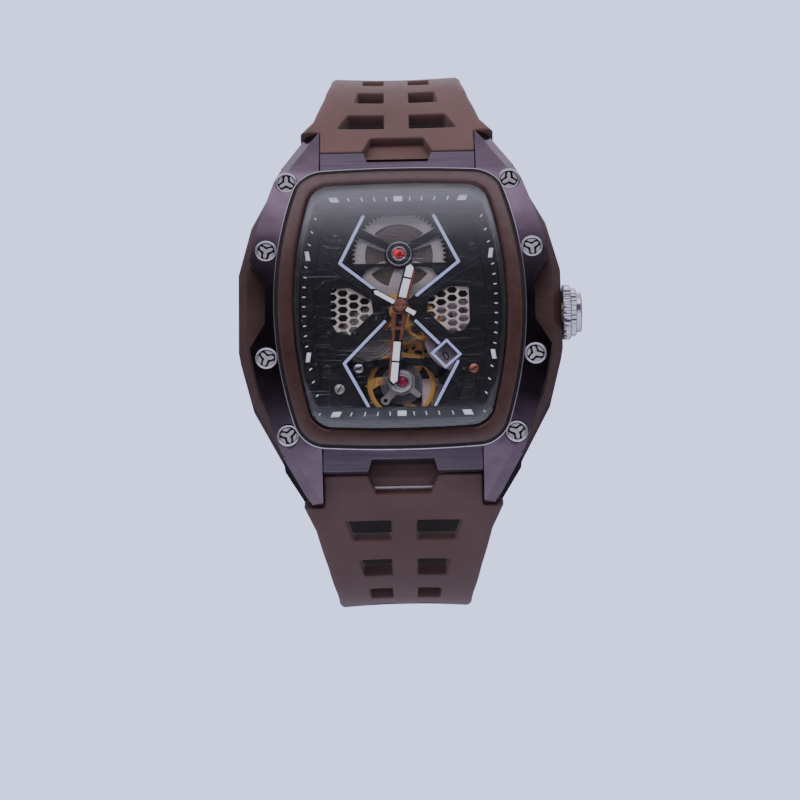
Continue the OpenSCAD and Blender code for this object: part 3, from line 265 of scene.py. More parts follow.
def chamfer_lugs(bm):
    along = (LUG_END - LUG_FOOT).normalized()
    out = Vector((along.y, -along.x, 0))
    sx = 1 if sum(v.co.x for v in bm.verts) > 0 else -1
    for sy in (1, -1):
        corners = []
        for p, inset, sink in ((LUG_FOOT, CHAMFER_TOP, 0), (LUG_END, CHAMFER_TOP, 0),
                               (LUG_FOOT, 0, CHAMFER_SIDE)):
            q = p - out * inset
            q.z = LUG_TIP_Z + (LUG_TIP_Y - q.y) * LUG_FALL - sink
            corners.append(Vector((q.x * sx, q.y * sy, q.z)))
        normal = (corners[1] - corners[0]).cross(corners[2] - corners[0]).normalized()
        normal *= 1 if normal.z > 0 else -1
        whole = bm.verts[:] + bm.edges[:] + bm.faces[:]
        cut = bmesh.ops.bisect_plane(bm, geom=whole, dist=1e-8, clear_outer=True,
                                     plane_co=TO_ROW @ corners[0], plane_no=TO_ROW.to_3x3() @ normal)
        rim = [e for e in cut["geom_cut"] if isinstance(e, bmesh.types.BMEdge)]
        bmesh.ops.holes_fill(bm, edges=rim, sides=0)


rail_steel = metal("rail_steel", (96, 82, 92), (116, 100, 110), (0.13, 0.21), (300, 900, 300), 0.05)
for rail in ("rail_left", "rail_right"):
    refine(rail, rail_steel, 0.16, 3, prepare=chamfer_lugs)


# End plates: satin gunmetal bars set between the lugs, each milled with a notch for the strap.
# They are brushed along their length, so their grain is a set of long fine lines.
plate_steel = metal("plate_steel", (88, 78, 88), (112, 100, 110), (0.36, 0.46), (120, 2600, 2600), 0.14)
for plate in ("end_plate_12", "end_plate_6"):
    refine(plate, plate_steel, 0.1)


# Brown ring: a satin painted band round the glass, which follows the long curve of the bezel.
# It stands in a black seal, and the steel round the seal is polished to a thin lip, whose light colour is
# partly a painted highlight along the edge.
CASE_H, BEZEL_TOP, CRYSTAL_TOP, ARC = 9.0, 12.2, 13.2, 80.0
RING_W, RING_L, RING_R, OPEN_W, OPEN_L, OPEN_R = 15.9, 18.8, 4.1, 13.8, 16.7, 3.2
SIDE_ARC, END_ARC, BAND_W = 52.0, 160.0, 2.1


class Shape:
    def __init__(self):
        self.v, self.f = [], []

    # Closed rings joined in order; cap 1 closes both ends and cap 2 joins the last ring to the first
    def loft(self, rings, cap=1):
        base, n, m = len(self.v), len(rings[0]), len(rings)
        self.v += [tuple(p) for r in rings for p in r]
        for i in range(m if cap == 2 else m - 1):
            a, b = base + i * n, base + (i + 1) % m * n
            self.f += [(a + k, a + (k + 1) % n, b + (k + 1) % n, b + k) for k in range(n)]
        if cap == 1:
            last = base + (m - 1) * n
            self.f += [tuple(range(base, base + n))[::-1], tuple(range(last, last + n))]
        return self

    # A profile of (radius, height above z) turned about an upright axis
    def lathe(self, profile, at=(0, 0), n=48, cap=1, z=0.0):
        return self.loft([[(x, y, z + h) for x, y in circle(r, at, n)] for r, h in profile], cap)

    # A plate of a counterclockwise outline with chamfered edges
    def slab(self, outline, z0, z1, edge=0.04):
        small = shrink(outline, edge)
        return self.loft([[(x, y, z) for x, y in pts] for pts, z in
                          ((small, z0), (outline, z0 + edge), (outline, z1 - edge), (small, z1))])


def circle(r, at=(0, 0), n=48):
    angles = [2 * pi * k / n for k in range(n)]
    return [(at[0] + r * cos(a), at[1] + r * sin(a)) for a in angles]


def shrink(outline, d):
    out, n = [], len(outline)
    for i in range(n):
        a, b, c = Vector(outline[i - 1]), Vector(outline[i]), Vector(outline[(i + 1) % n])
        u, v = (b - a).normalized(), (c - b).normalized()
        k = Vector((-u.y - v.y, u.x + v.x))
        out.append(tuple(b + k * d / max(0.35, k.dot(Vector((-u.y, u.x))))))
    return out


def smooth(me, angle):
    bm = bmesh.new()
    bm.from_mesh(me)
    bmesh.ops.remove_doubles(bm, verts=bm.verts, dist=1e-7)
    bmesh.ops.recalc_face_normals(bm, faces=bm.faces)
    bm.to_mesh(me)
    bm.free()
    for poly in me.polygons:
        poly.use_smooth = True
    me.set_sharp_from_angle(angle=radians(angle))


def piece(name, shape, mat, node, hides=True, angle=32.0):
    me = bpy.data.meshes.new(name)
    me.from_pydata(shape.v, [], shape.f)
    me.transform(TO_ROW)
    smooth(me, angle)
    dress(put(name, me), mat, node, hides)


# The case's barrel outline, drawn from long arcs with round corners
def barrel(w, l, r, ns=12, nc=9, ne=7):
    y = 10.0
    for _ in range(6):
        x = w - SIDE_ARC + sqrt((SIDE_ARC - r) ** 2 - y * y)
        y = l - END_ARC + sqrt((END_ARC - r) ** 2 - x * x)
    a, b = atan2(y, x - w + SIDE_ARC), atan2(y - l + END_ARC, x)
    q = [(w - SIDE_ARC + SIDE_ARC * cos(a * i / ns), SIDE_ARC * sin(a * i / ns)) for i in range(ns + 1)]
    q += [(x + r * cos(a + (b - a) * i / nc), y + r * sin(a + (b - a) * i / nc)) for i in range(1, nc + 1)]
    for i in range(1, ne + 1):
        s = b + (pi / 2 - b) * i / ne
        q.append((END_ARC * cos(s), l - END_ARC + END_ARC * sin(s)))
    half = q + [(-x, y) for x, y in q[-2::-1]]
    return half + [(-x, -y) for x, y in half[1:-1]]


def arc_z(top, y):
    return top - ARC + sqrt(ARC * ARC - y * y)


def ring(w, l, r, z):
    return [(x, y, z(y) if callable(z) else z) for x, y in barrel(w, l, r)]


def under(top, drop):
    return lambda y: arc_z(top, y) - drop


BAND_TOP = BEZEL_TOP + 0.2
band = [(0, 0.42), (0.04, 0.2), (0.12, 0.05), (0.2, 0), (0.5, 0), (0.76, 0), (0.86, 0.05),
        (0.94, 0.2), (1, 0.45)]
rows = [ring(RING_W, RING_L, RING_R, CASE_H)]
rows += [ring(RING_W - BAND_W * u, RING_L - BAND_W * u, RING_R - (RING_R - OPEN_R) * u, under(BAND_TOP, drop))
         for u, drop in band]
rows.append(ring(OPEN_W, OPEN_L, OPEN_R, CASE_H))
ring_brown = metal("ring_brown", (52, 33, 30), (68, 45, 41), (0.3, 0.4), metallic=0.25, coat=0.5)
piece("bezel_ring_round", Shape().loft(rows, 2), ring_brown, "bezel_ring")


def rubber(name, a, b, rough=0.55):
    m, t = tree(name)
    fine = noise(t, 5200, 3.0, 0.6)
    color = ramp(t, noise(t, 90, 4.0), [(0.32, srgb(a)), (0.68, srgb(b))])
    return skin(m, t, color, spread(t, fine, rough - 0.05, rough + 0.1), bump(t, fine, 0.3),
                Sheen_Weight=0.15, Sheen_Roughness=0.4, Sheen_Tint=(0.85, 0.76, 0.8, 1),
                Specular_IOR_Level=0.35)


# A thin band that follows the ring at a distance, from (distance, drop below the bezel's top) points
def border(profile):
    return Shape().loft([ring(RING_W + g, RING_L + g, RING_R + g * 0.7, under(BEZEL_TOP, drop))
                         for g, drop in profile], 2)


black_rubber = rubber("black_rubber", (12, 12, 13), (18, 18, 19))
# The lip's light steel colour is partly a painted highlight along the seal's edge.
bright_steel = metal("bright_steel", (170, 158, 170), (196, 186, 196), (0.18, 0.26), depth=0.03)
seal = [(-0.04, -0.03), (0.3, -0.03), (0.3, 0.6), (-0.04, 0.6)]
lip = [(0.26, 0.6), (0.26, -0.02), (0.31, -0.07), (0.38, -0.06), (0.43, 0.0), (0.43, 0.6)]
piece("ring_seal", border(seal), black_rubber, "crystal_gasket", False)
piece("rail_lip", border(lip), bright_steel, "rail_left", False, 50)


# Bezel screws: eight chrome heads with a raised rim, a near-black floor that is painted shade in the recess,
# a three-armed island and crescents.
# Each part of the head is made once and set at all eight places by a tree of nodes, at its own turn.
def repeated(name, head, places, mat, node, hides=True, angle=40.0):
    t = bpy.data.node_groups.new(name, "GeometryNodeTree")
    t.interface.new_socket("Geometry", in_out="OUTPUT", socket_type="NodeSocketGeometry")
    t.interface.new_socket("Geometry", in_out="INPUT", socket_type="NodeSocketGeometry")
    where = t.interface.new_socket("Places", in_out="INPUT", socket_type="NodeSocketObject")
    size = t.interface.new_socket("Size", in_out="INPUT", socket_type="NodeSocketFloat")
    start = t.nodes.new("NodeGroupInput")
    spots = add(t, "GeometryNodeObjectInfo", {"Object": start.outputs["Places"]})
    turn = add(t, "GeometryNodeInputNamedAttribute", _data_type="FLOAT_VECTOR", Name="turn")
    each = add(t, "GeometryNodeInstanceOnPoints", {
        "Points": spots.outputs["Geometry"], "Instance": start.outputs["Geometry"],
        "Rotation": turn.outputs[0], "Scale": start.outputs["Size"]})
    real = add(t, "GeometryNodeRealizeInstances", {0: each.outputs[0]})
    paint = add(t, "GeometryNodeSetMaterial", {"Geometry": real.outputs[0]}, Material=mat)
    t.links.new(paint.outputs[0], t.nodes.new("NodeGroupOutput").inputs[0])
    dots = bpy.data.meshes.new(name + "_places")
    dots.from_pydata([p[:3] for p in places], [], [])
    angles = dots.attributes.new("turn", "FLOAT_VECTOR", "POINT")
    for k, p in enumerate(places):
        angles.data[k].vector = (0, 0, radians(p[3]))
    spot = put(name + "_places", dots)
    me = bpy.data.meshes.new(name)
    me.from_pydata(head.v, [], head.f)
    o = put(name, me)
    mod = o.modifiers.new("repeat", "NODES")
    mod.node_group = t
    mod[where.identifier] = spot
    mod[size.identifier] = 1.0
    new = as_mesh(o)
    o.modifiers.clear()
    bpy.data.objects.remove(spot)
    new.transform(TO_ROW)
    o.data = new
    smooth(new, angle)
    dress(o, mat, node, hides)


def spin(points, deg, at=(0, 0)):
    c, s = cos(radians(deg)), sin(radians(deg))
    return [(at[0] + x * c - y * s, at[1] + x * s + y * c) for x, y in points]


def polar(r, deg, at=(0, 0)):
    return (at[0] + r * cos(radians(deg)), at[1] + r * sin(radians(deg)))


CORNER, MIDDLE = (14.6, 17.15), (17.25, 7.25)
TURNS = ((-1, 1, MIDDLE, 170), (1, 1, MIDDLE, 185), (-1, -1, MIDDLE, 40), (1, -1, MIDDLE, 15),
         (-1, 1, CORNER, 0), (1, 1, CORNER, 0), (-1, -1, CORNER, 75), (1, -1, CORNER, 190))
spots = [(sx * p[0], sy * p[1], arc_z(BEZEL_TOP, p[1]), deg) for sx, sy, p, deg in TURNS]
head_rim = [(1.40, -0.5), (1.42, 0.02), (1.37, 0.09), (1.29, 0.12), (1.2, 0.09), (1.14, -0.02), (1.12, -0.3)]
star = []
for a in range(0, 360, 5):
    lobe = max(0.0, cos(radians(1.5 * ((a - 30) % 120 - 60))))
    star.append(polar(0.3 + 0.7 * lobe ** 4, a))
figure = Shape().slab(star, -0.31, -0.03, 0.07)
for mid in (30, 150, 270):
    crescent = [(1.08, mid + d) for d in range(-33, 34, 11)]
    crescent += [(0.82, mid + 24), (0.62, mid), (0.82, mid - 24)]
    figure.slab([polar(r, a) for r, a in crescent], -0.31, -0.12, 0.05)
chrome = metal("chrome", (196, 192, 200), (222, 219, 226), (0.1, 0.18), depth=0.03, metallic=0.9)
satin_chrome = metal("satin_chrome", (176, 170, 174), (204, 198, 202), (0.3, 0.4), depth=0.05, metallic=0.7)
# A near-black finish: painted shade on the screw heads' floors and slots, and the dark print of the date
# numbers.
recess = metal("recess", (14, 13, 16), (24, 22, 26), (0.3, 0.4), metallic=0.2)
head_floor = Shape().lathe([(1.3, -0.36), (1.25, -0.3), (0.02, -0.3)], n=40)
repeated("screw_rims", Shape().lathe(head_rim, n=56, cap=2), spots, chrome, "bezel_screws", angle=60)
repeated("screw_floors", head_floor, spots, recess, "bezel_screws", False)
repeated("screw_figures", figure, spots, satin_chrome, "bezel_screws", False)


# Crystal: a domed block of mineral glass with a chamfered rim, pressed into the ring on a black gasket.
# It is a little scratched and dusty, and its coating mirrors the soft box along the top edge.
SCRATCH, DUST = (140, 140, 5200), (2400, 2400, 2400)


def glass(name, shine, haze):
    m, t = tree(name)
    facing = add(t, "ShaderNodeLayerWeight", Blend=0.5).outputs["Facing"]
    steps = ((0.0, shine), (0.4, shine * 1.2), (0.8, 0.3), (1.0, 0.8))
    weight = ramp(t, facing, [(at, (w,) * 3) for at, w in steps])
    clear = add(t, "ShaderNodeBsdfTransparent", Color=(0.985, 0.988, 1.0, 1))
    smear = noise(t, (70, 70, 260), 5.0, 0.65)
    gloss = add(t, "ShaderNodeBsdfGlossy", {"Roughness": spread(t, smear, 0.05, 0.14)})
    mix = blend(t, weight, clear.outputs[0], gloss.outputs[0])
    for stretch, turn in ((SCRATCH, 35), (SCRATCH, -60), (DUST, 0)) if haze else ():
        marks = ramp(t, noise(t, stretch, 2.0, 0.5, turn), [(0.69, (0, 0, 0)), (0.76, (haze,) * 3)])
        dust = add(t, "ShaderNodeBsdfDiffuse", Color=(0.8, 0.82, 0.95, 1))
        mix = blend(t, marks, mix, dust.outputs[0])
    return surface(m, t, mix)


GLASS_W, GLASS_L, GLASS_R, GLASS_FOOT = OPEN_W - 0.1, OPEN_L - 0.1, 3.1, CASE_H + 1.8
rows = [ring(GLASS_W, GLASS_L, GLASS_R, GLASS_FOOT)]
for step, drop in ((0, 0.45), (0.18, 0.2), (0.6, 0.03), (1.2, 0)):
    rows.append(ring(GLASS_W - step, GLASS_L - step, GLASS_R - 0.75 * step, under(CRYSTAL_TOP, drop)))
rim = rows[-1]
rows += [[(x * k, y * k, arc_z(CRYSTAL_TOP, y * k)) for x, y, z in rim]
         for k in (0.85, 0.65, 0.45, 0.25, 0.08)]
piece("crystal_dome", Shape().loft(rows), glass("crystal_glass", 0.12, 0.1), "crystal", angle=20)
refine("crystal_gasket", black_rubber, 0.08)


# Chapter ring: a black ring with a slanted wall, and the minute track printed thick on its flat step.
# White blocks mark the hours and short strokes the minutes, spaced by the angle from the centre.
DIAL_TOP, TRACK_Z, INNER_W, INNER_L = 8.4, 8.8, 11.2, 13.2
TRACK_X, TRACK_Y, TRACK_MID, TRACK_ARC, TRACK_CORNER = 12.5, 14.65, 0.55, 45.0, 37.5
NO_BLOCK = (15, 45)
dial_black = metal("dial_black", (7, 7, 9), (11, 11, 14), (0.42, 0.55), metallic=0.0, depth=0.03)
wall = ((0.1, 3.1, 0), (0.1, 3.1, 1.5), (0.2, 3.0, 1.55), (0.4, 2.9, 1.55), (0.75, 2.6, 0.44),
        (0.83, 2.5, 0.4))
rows = [ring(OPEN_W - s, OPEN_L - s, r, DIAL_TOP + z) for s, r, z in wall]
rows += [ring(INNER_W + s, INNER_L + s, r, z) for s, r, z in
         ((0.08, 1.7, TRACK_Z), (0, 1.6, TRACK_Z - 0.06), (0, 1.6, DIAL_TOP))]
piece("chapter_ring_slope", Shape().loft(rows, 2), dial_black, "chapter_ring")


def painted(name, color, rough=0.5):
    m, t = tree(name)
    fine = noise(t, 3800, 3.0, 0.6)
    tone = ramp(t, fine, [(0.3, tuple(0.88 * c for c in color)), (0.65, color)])
    return skin(m, t, tone, spread(t, fine, rough, rough + 0.15), bump(t, fine, 0.15))


def box(w, h, slant=0.0):
    low, high = (-w / 2 - slant, w / 2 - slant), (w / 2 + slant, -w / 2 + slant)
    return [(x, -h / 2) for x in low] + [(x, h / 2) for x in high]


lume_white = painted("lume_white", (0.95, 0.93, 1.0))
groups = {}
for minute in range(60):
    dx, dy = sin(radians(6 * minute)), cos(radians(6 * minute))
    on_end = abs(dx) < abs(dy) * tan(radians(TRACK_CORNER))
    f = TRACK_Y / abs(dy) if on_end else TRACK_X / abs(dx)
    for _ in range(0 if on_end else 5):
        f = (TRACK_X - (dy * f) ** 2 / (2 * TRACK_ARC)) / abs(dx)
    x, y = dx * f, dy * f
    hour = minute % 5 == 0 and minute not in NO_BLOCK
    lean = (1 if x * y > 0 else -1) if hour and abs(x) > 1 else 0
    place = (x, y + TRACK_MID, TRACK_Z, 0 if hour else -6.0 * minute)
    groups.setdefault((hour, on_end, lean), []).append(place)
for k, ((hour, on_end, lean), places) in enumerate(groups.items()):
    if hour:
        block = box(1.15, 0.72, 0.17 * lean) if on_end else box(0.56, 1.3, 0.1 * lean)
        mark = Shape().slab(block, 0, 0.14, 0.05)
    else:
        mark = Shape().slab(box(0.13, 0.55) if on_end else box(0.16, 0.42), 0, 0.06, 0.02)
    repeated("minute_track_%d" % k, mark, places, lume_white, "chapter_markers", k == 0)


# Dial plate: a pierced black plate, with fine lines engraved between the hourglass and the track
# and a brown sunk panel at the lower right.
def finish(node, mat):
    frame["nodes"][node].data.materials.clear()
    frame["nodes"][node].data.materials.append(mat)


finish("dial_plate", dial_black)
engraved = metal("engraved", (48, 46, 54), (78, 76, 86), (0.3, 0.4), metallic=0.3)
LINE_W, LINE_TOP = 0.07, DIAL_TOP + 0.03
LINES = (((1.9, 1.2), (10.6, 6.6)), ((7.9, 4.35), (9.6, 4.2), (11.1, 3.0)), ((7.7, -5.5), (11.1, -4.5)),
         ((8.4, -9.0), (11.1, -8.9)), ((7.4, -13.0), (11.1, -9.9)), ((8.4, 6.2), (11.1, 7.7)),
         ((7.35, -12.6), (9.3, -12.6), (9.3, -9.2), (7.95, -9.2)))


# The outline of a straight strip from a to b that goes from one width to another
def strip(a, b, w0, w1):
    a, b = Vector(a), Vector(b)
    n = Vector((a.y - b.y, b.x - a.x)).normalized()
    return [tuple(a - n * w0 / 2), tuple(b - n * w1 / 2), tuple(b + n * w1 / 2), tuple(a + n * w0 / 2)]


lines = Shape()
for m in (1, -1):
    for run in LINES:
        for a, b in zip(run, run[1:]):
            lines.slab(strip((a[0] * m, a[1]), (b[0] * m, b[1]), LINE_W, LINE_W), DIAL_TOP, LINE_TOP, 0.012)
piece("dial_engraving", lines, engraved, "dial_plate", False)
panel_brown = metal("panel_brown", (34, 27, 26), (48, 39, 37), (0.4, 0.5), metallic=0.2)
panel = Shape().slab([(7.5, -12.3), (8.9, -12.3), (9.0, -9.6), (8.2, -9.6)], DIAL_TOP, LINE_TOP, 0.01)
piece("dial_panel", panel, panel_brown, "dial_plate", False)


# Hourglass lines: pale lavender strips of lume that outline the dial's two windows.
# They are moulded, stand proud of the dial and are fixed on its face.
lavender = painted("lavender", (0.50, 0.54, 0.84))
refine("lume_lines", lavender, 0.05)


# Honeycomb plates: stamped warm silver sheet with flat-topped cells, fixed under the dial's side windows.
# Each sheet reaches past its window, so that the window's edge cuts through cells.
COMB_EDGE = [(9, 3.1), (6.6, 3.3), (3.7, 1.5), (3.5, -0.3), (6.6, -3.3), (8.3, -2.8), (9, -1.6)]
CELL_X, CELL_Y, CELL_W, CELL_H, COMB_MARGIN, COMB_REACH = 1.42, 1.13, 1.4, 0.92, 0.9, 0.12
COMB_FIRST, COMB_LOW, COMB_HIGH = {1: (6.8, 0.53), -1: (6.02, -0.25)}, 7.7, 7.98


# The mesh of a curve, set in its place
def from_curve(c, place):
    flat = put(c.name, c)
    me = as_mesh(flat)
    bpy.data.objects.remove(flat)
    me.transform(place)
    return me


# A sheet cut from closed outlines, with finely rounded edges
def cut_plate(name, outlines, z0, z1, mat, node, hides=True, edge=0.04, place=TO_ROW):
    c = bpy.data.curves.new(name, "CURVE")
    c.dimensions = "2D"
    c.fill_mode = "BOTH"
    for pts in outlines:
        s = c.splines.new("POLY")
        s.points.add(len(pts) - 1)
        for q, (x, y) in zip(s.points, pts):
            q.co = (x, y, 0, 1)
        s.use_cyclic_u = True
    c.extrude = (z1 - z0) / 2 - edge
    c.bevel_depth = edge
    c.bevel_resolution = 1
    c.offset = -edge
    me = from_curve(c, place @ Matrix.Translation((0, 0, (z0 + z1) / 2)))
    smooth(me, 32)
    return dress(put(name, me), mat, node, hides)


def inside(p, outline):
    n = len(outline)
    return all((outline[(i + 1) % n][0] - outline[i][0]) * (p[1] - outline[i][1]) -
               (outline[(i + 1) % n][1] - outline[i][1]) * (p[0] - outline[i][0]) > 0 for i in range(n))


comb_silver = metal("comb_silver", (182, 166, 156), (216, 200, 190), (0.4, 0.5), metallic=0.2)
for m, name in ((1, "honeycomb_right"), (-1, "honeycomb_left")):
    outlines, reach = [shrink(COMB_EDGE, -COMB_MARGIN)], shrink(COMB_EDGE, -COMB_REACH)
    for i in range(-3, 3):
        for j in range(-5, 6):
            x, y = COMB_FIRST[m][0] + i * CELL_X, COMB_FIRST[m][1] + (j + 0.5 * (i % 2)) * CELL_Y
            if inside((x, y), reach):
                corners = [radians(60 * k) for k in range(6)]
                outlines.append([(x + CELL_W / 2 * cos(a), y + CELL_H / 1.732 * sin(a)) for a in corners])
    cut_plate(name, [[(m * x, y) for x, y in o] for o in outlines], COMB_LOW, COMB_HIGH, comb_silver,
              "honeycomb", m > 0)


# Dial and bridge screws: small slotted heads, each set in its own finish, dark, copper or silver.
# They are turned from steel and screwed down into the dial plate or the bridge.
def screws(name, places, r, mat, hides=False):
    head = Shape().lathe([(r * 0.98, -0.3), (r, -0.05), (r * 0.9, 0), (0.02, 0.02)], n=32)
    # The slot is a dark bar laid over the head: painted shade standing in for the cut.
    slot = Shape().slab(box(r * 1.74, 0.17), -0.08, 0.026, 0.01)
    repeated(name, head, places, mat, "dial_screws", hides)
    repeated(name + "_slots", slot, places, recess, "dial_screws", False)


HEAD_Z = DIAL_TOP + 0.18
copper_head = metal("copper_head", (160, 96, 76), (196, 128, 106), (0.26, 0.36), metallic=0.6)
dark_head = metal("dark_head", (44, 40, 42), (66, 60, 60), (0.3, 0.4), metallic=0.5)
silver_head = metal("silver_head", (168, 160, 154), (200, 192, 186), (0.24, 0.34), metallic=0.7)
dark_places = [(9.6, 8.5, HEAD_Z, 20), (-9.6, 8.5, HEAD_Z, -35), (-9.6, -7.8, HEAD_Z, 10)]
screws("dial_screws_dark", dark_places, 0.6, dark_head, True)
screws("dial_screw_copper", [(9.4, -8.1, HEAD_Z, 32)], 0.62, copper_head)
screws("dial_screw_silver", [(-8.0, -10.6, HEAD_Z, 62)], 0.66, silver_head)


# Date: a dark disc printed with plain numbers, under a pale diamond frame glued to the dial.
# The numbers stand round the disc's own axis, so that each comes to the window as the disc turns.
DATE_AXIS, DATE_AT, DATE_TOP = (8.0, -3.4), (5.85, -6.1), 7.35
NUMBERS, NUMBER_TILT, NUMBER_SIZE, NUMBER_T, NUMBER_LIFT = 10, 25, 1.75, 0.02, 0.015
refine("date_frame", lavender, 0.05)
disc_grey = metal("disc_grey", (112, 100, 104), (136, 123, 127), (0.4, 0.5), metallic=0.0)
finish("date_disc", disc_grey)
reach_out = dist(DATE_AXIS, DATE_AT)
first = degrees(atan2(DATE_AT[1] - DATE_AXIS[1], DATE_AT[0] - DATE_AXIS[0]))
bm = bmesh.new()
for k in range(NUMBERS):
    c = bpy.data.curves.new("numeral", "FONT")
    c.body = str(k)
    c.size, c.extrude = NUMBER_SIZE, NUMBER_T
    c.align_x, c.align_y = "CENTER", "CENTER"
    step = 360 * k / NUMBERS
    place = Matrix.Translation((*polar(reach_out, first + step, DATE_AXIS), DATE_TOP + NUMBER_LIFT))
    bm.from_mesh(from_curve(c, TO_ROW @ place @ Matrix.Rotation(radians(NUMBER_TILT + step), 4, "Z")))
me = bpy.data.meshes.new("date_numbers")
bm.to_mesh(me)
bm.free()
smooth(me, 32)
dress(put("date_numbers", me), recess, "date_disc", False)


# Movement holder and main plate: a matte grey ring in the case, and the plate that carries the train.
# A rose base is screwed to the plate beside the balance.
PLATE_TOP, BRIDGE_Z, BRIDGE_T = 4.6, 7.45, 0.45
finish("movement_holder", rubber("holder_grey", (18, 17, 19), (27, 26, 28)))
plate_grey = metal("plate_grey", (52, 47, 47), (78, 71, 70), (0.28, 0.4), depth=0.12, metallic=0.5)
finish("main_plate", plate_grey)
rose = metal("rose", (196, 172, 168), (226, 204, 200), (0.36, 0.46), (2200, 300, 300), 0.1, 0.2)
base = Shape().slab([(2.6, -12.9), (4.3, -12.9), (5.9, -10.6), (5.6, -8.6), (2.6, -8.6)], PLATE_TOP, 5.9, 0.1)
piece("rose_base", base, rose, "honeycomb", False)


# Barrel: a steel drum with a toothed cover, pierced so that the wound mainspring shows.
# The cover is turned on a lathe, so its grain runs in circles round the barrel's axis.
BARREL, DRUM_TOP = (0.0, 7.8), 7.35


def turned(name, a, b, rough, at, rings=9000.0, depth=0.1, metallic=0.7):
    m, t = tree(name)
    where = t.nodes.new("ShaderNodeTexCoord")
    centred = add(t, "ShaderNodeMapping", {"Vector": where.outputs["Object"]},
                  Location=(-at[0] * MM, 0, -at[1] * MM), Scale=(1, 0, 1))
    length = add(t, "ShaderNodeVectorMath", {0: centred.outputs[0]}, _operation="LENGTH")
    r = add(t, "ShaderNodeCombineXYZ", {"X": length.outputs["Value"]})
    grain = add(t, "ShaderNodeTexNoise", {"Vector": r.outputs[0]},
                Scale=rings, Detail=3.0, Roughness=0.7).outputs["Fac"]
    color = ramp(t, grain, [(0.3, srgb(a)), (0.68, srgb(b))])
    return skin(m, t, color, spread(t, grain, *rough), bump(t, grain, depth), Metallic=metallic)


def teeth(n, r, tip, root, at, turn):
    tooth = ((-0.26, -root), (-0.1, tip), (0.1, tip), (0.26, -root))
    return [polar(r + h, turn + (i + k) * 360 / n, at) for i in range(n) for k, h in tooth]


# A window between two radii and two angles, whose sides sweep back by an angle towards the rim
def window(at, r0, r1, a0, a1, sweep=0.0, n=10):
    pts = [(r1, a0 + sweep + (a1 - a0) * i / n) for i in range(n + 1)]
    pts += [(r1 + (r0 - r1) * i / 5, a1 + sweep * (1 - i / 5)) for i in range(1, 5)]
    pts += [(r0, a1 - (a1 - a0) * i / n) for i in range(n + 1)]
    pts += [(r0 + (r1 - r0) * i / 5, a0 + sweep * i / 5) for i in range(1, 5)]
    return [polar(r, a, at) for r, a in pts]


def coils(at, r0, pitch, turns, wire, high, z, steps=40):
    section = ((-wire / 2, 0), (wire / 2, 0), (wire / 2, high), (0, high + wire * 0.4), (-wire / 2, high))
    rings = []
    for i in range(int(turns * steps) + 1):
        r, deg = r0 + pitch * i / steps, 360 * i / steps
        rings.append([(*polar(r + w, deg, at), z + h) for w, h in section])
    return Shape().loft(rings)


drum_grey = turned("drum_grey", (140, 131, 128), (170, 161, 157), (0.42, 0.55), BARREL, 5200.0, 0.08, 0.2)
coil_brown = turned("coil_brown", (96, 84, 77), (146, 131, 121), (0.35, 0.5), BARREL, 9000.0, 0.2, 0.3)
cover = [teeth(60, 6.0, 0.17, 0.2, BARREL, -87.0)]
for a0, a1 in ((44, 136), (160, 199), (214, 250), (290, 326), (-19, 20)):
    cover.append(window(BARREL, 1.75, 4.42, a0, a1))
cut_plate("barrel_cover", cover, DRUM_TOP - 0.35, DRUM_TOP, drum_grey, "barrel_drum", False, 0.05)
wall = Shape().lathe([(4.9, 6.2), (4.9, 7.05), (4.5, 7.05), (4.5, 6.35), (0.75, 6.35), (0.75, 6.2)],
                     BARREL, 96, 2)
piece("barrel_drum_wall", wall, drum_grey, "barrel_drum", angle=40)
wound = coils(BARREL, 1.35, 0.27, 11.2, 0.17, 0.5, 6.45)
piece("mainspring_wound", wound, coil_brown, "mainspring", angle=40)
steel = metal("movement_steel", (140, 134, 132), (182, 176, 172), (0.26, 0.38), depth=0.1, metallic=0.6)
refine("barrel_arbor", steel, 0.02)


# Barrel bridge: a black painted plate with four arms, screwed to posts beyond the hourglass.
# Two arms rise at a slant, two lie level and widen outwards, and a ring in the middle holds the jewel.
bridge_black = metal("bridge_black", (10, 10, 12), (18, 18, 22), (0.34, 0.44), metallic=0.1)
LEVEL_ARM = [(1.2, 6.62), (1.4, 6.3), (3.6, 6.15), (4.3, 5.9), (5.0, 4.9), (9.4, 5.2), (10.0, 7.0),
             (8.9, 7.6), (8.0, 6.62)]
SLANT_ARM, RIM_Z = ((1.0, 8.7, 0.9), (5.3, 11.05, 1.1), (7.6, 10.6, 1.5)), 0.38


def bar(s, a, b, w0, w1):
    s.slab(strip(a, b, w0, w1), BRIDGE_Z, BRIDGE_Z + BRIDGE_T, 0.07)


def post(s, at):
    profile = [(0.7, PLATE_TOP - BRIDGE_Z), (0.7, 0), (0.95, 0), (0.95, RIM_Z), (0.88, BRIDGE_T),
               (0.05, BRIDGE_T)]
    s.lathe(profile, at, 32, z=BRIDGE_Z)


def collar(s, r, at):
    s.lathe([(1.3, 0), (r, 0), (r, RIM_Z), (r - 0.07, BRIDGE_T), (1.3, BRIDGE_T)], at, 64, 2, BRIDGE_Z)


arms = Shape()
for m in (1, -1):
    arms.slab([(m * x, y) for x, y in LEVEL_ARM][::m], BRIDGE_Z, BRIDGE_Z + BRIDGE_T, 0.06)
    for (x0, y0, w0), (x1, y1, w1) in zip(SLANT_ARM, SLANT_ARM[1:]):
        bar(arms, (m * x0, y0), (m * x1, y1), w0, w1)
    post(arms, (m * 9.3, 7.2))
    post(arms, (m * 7.6, 10.4))
collar(arms, 1.9, BARREL)
piece("barrel_bridge_arms", arms, bridge_black, "barrel_bridge")


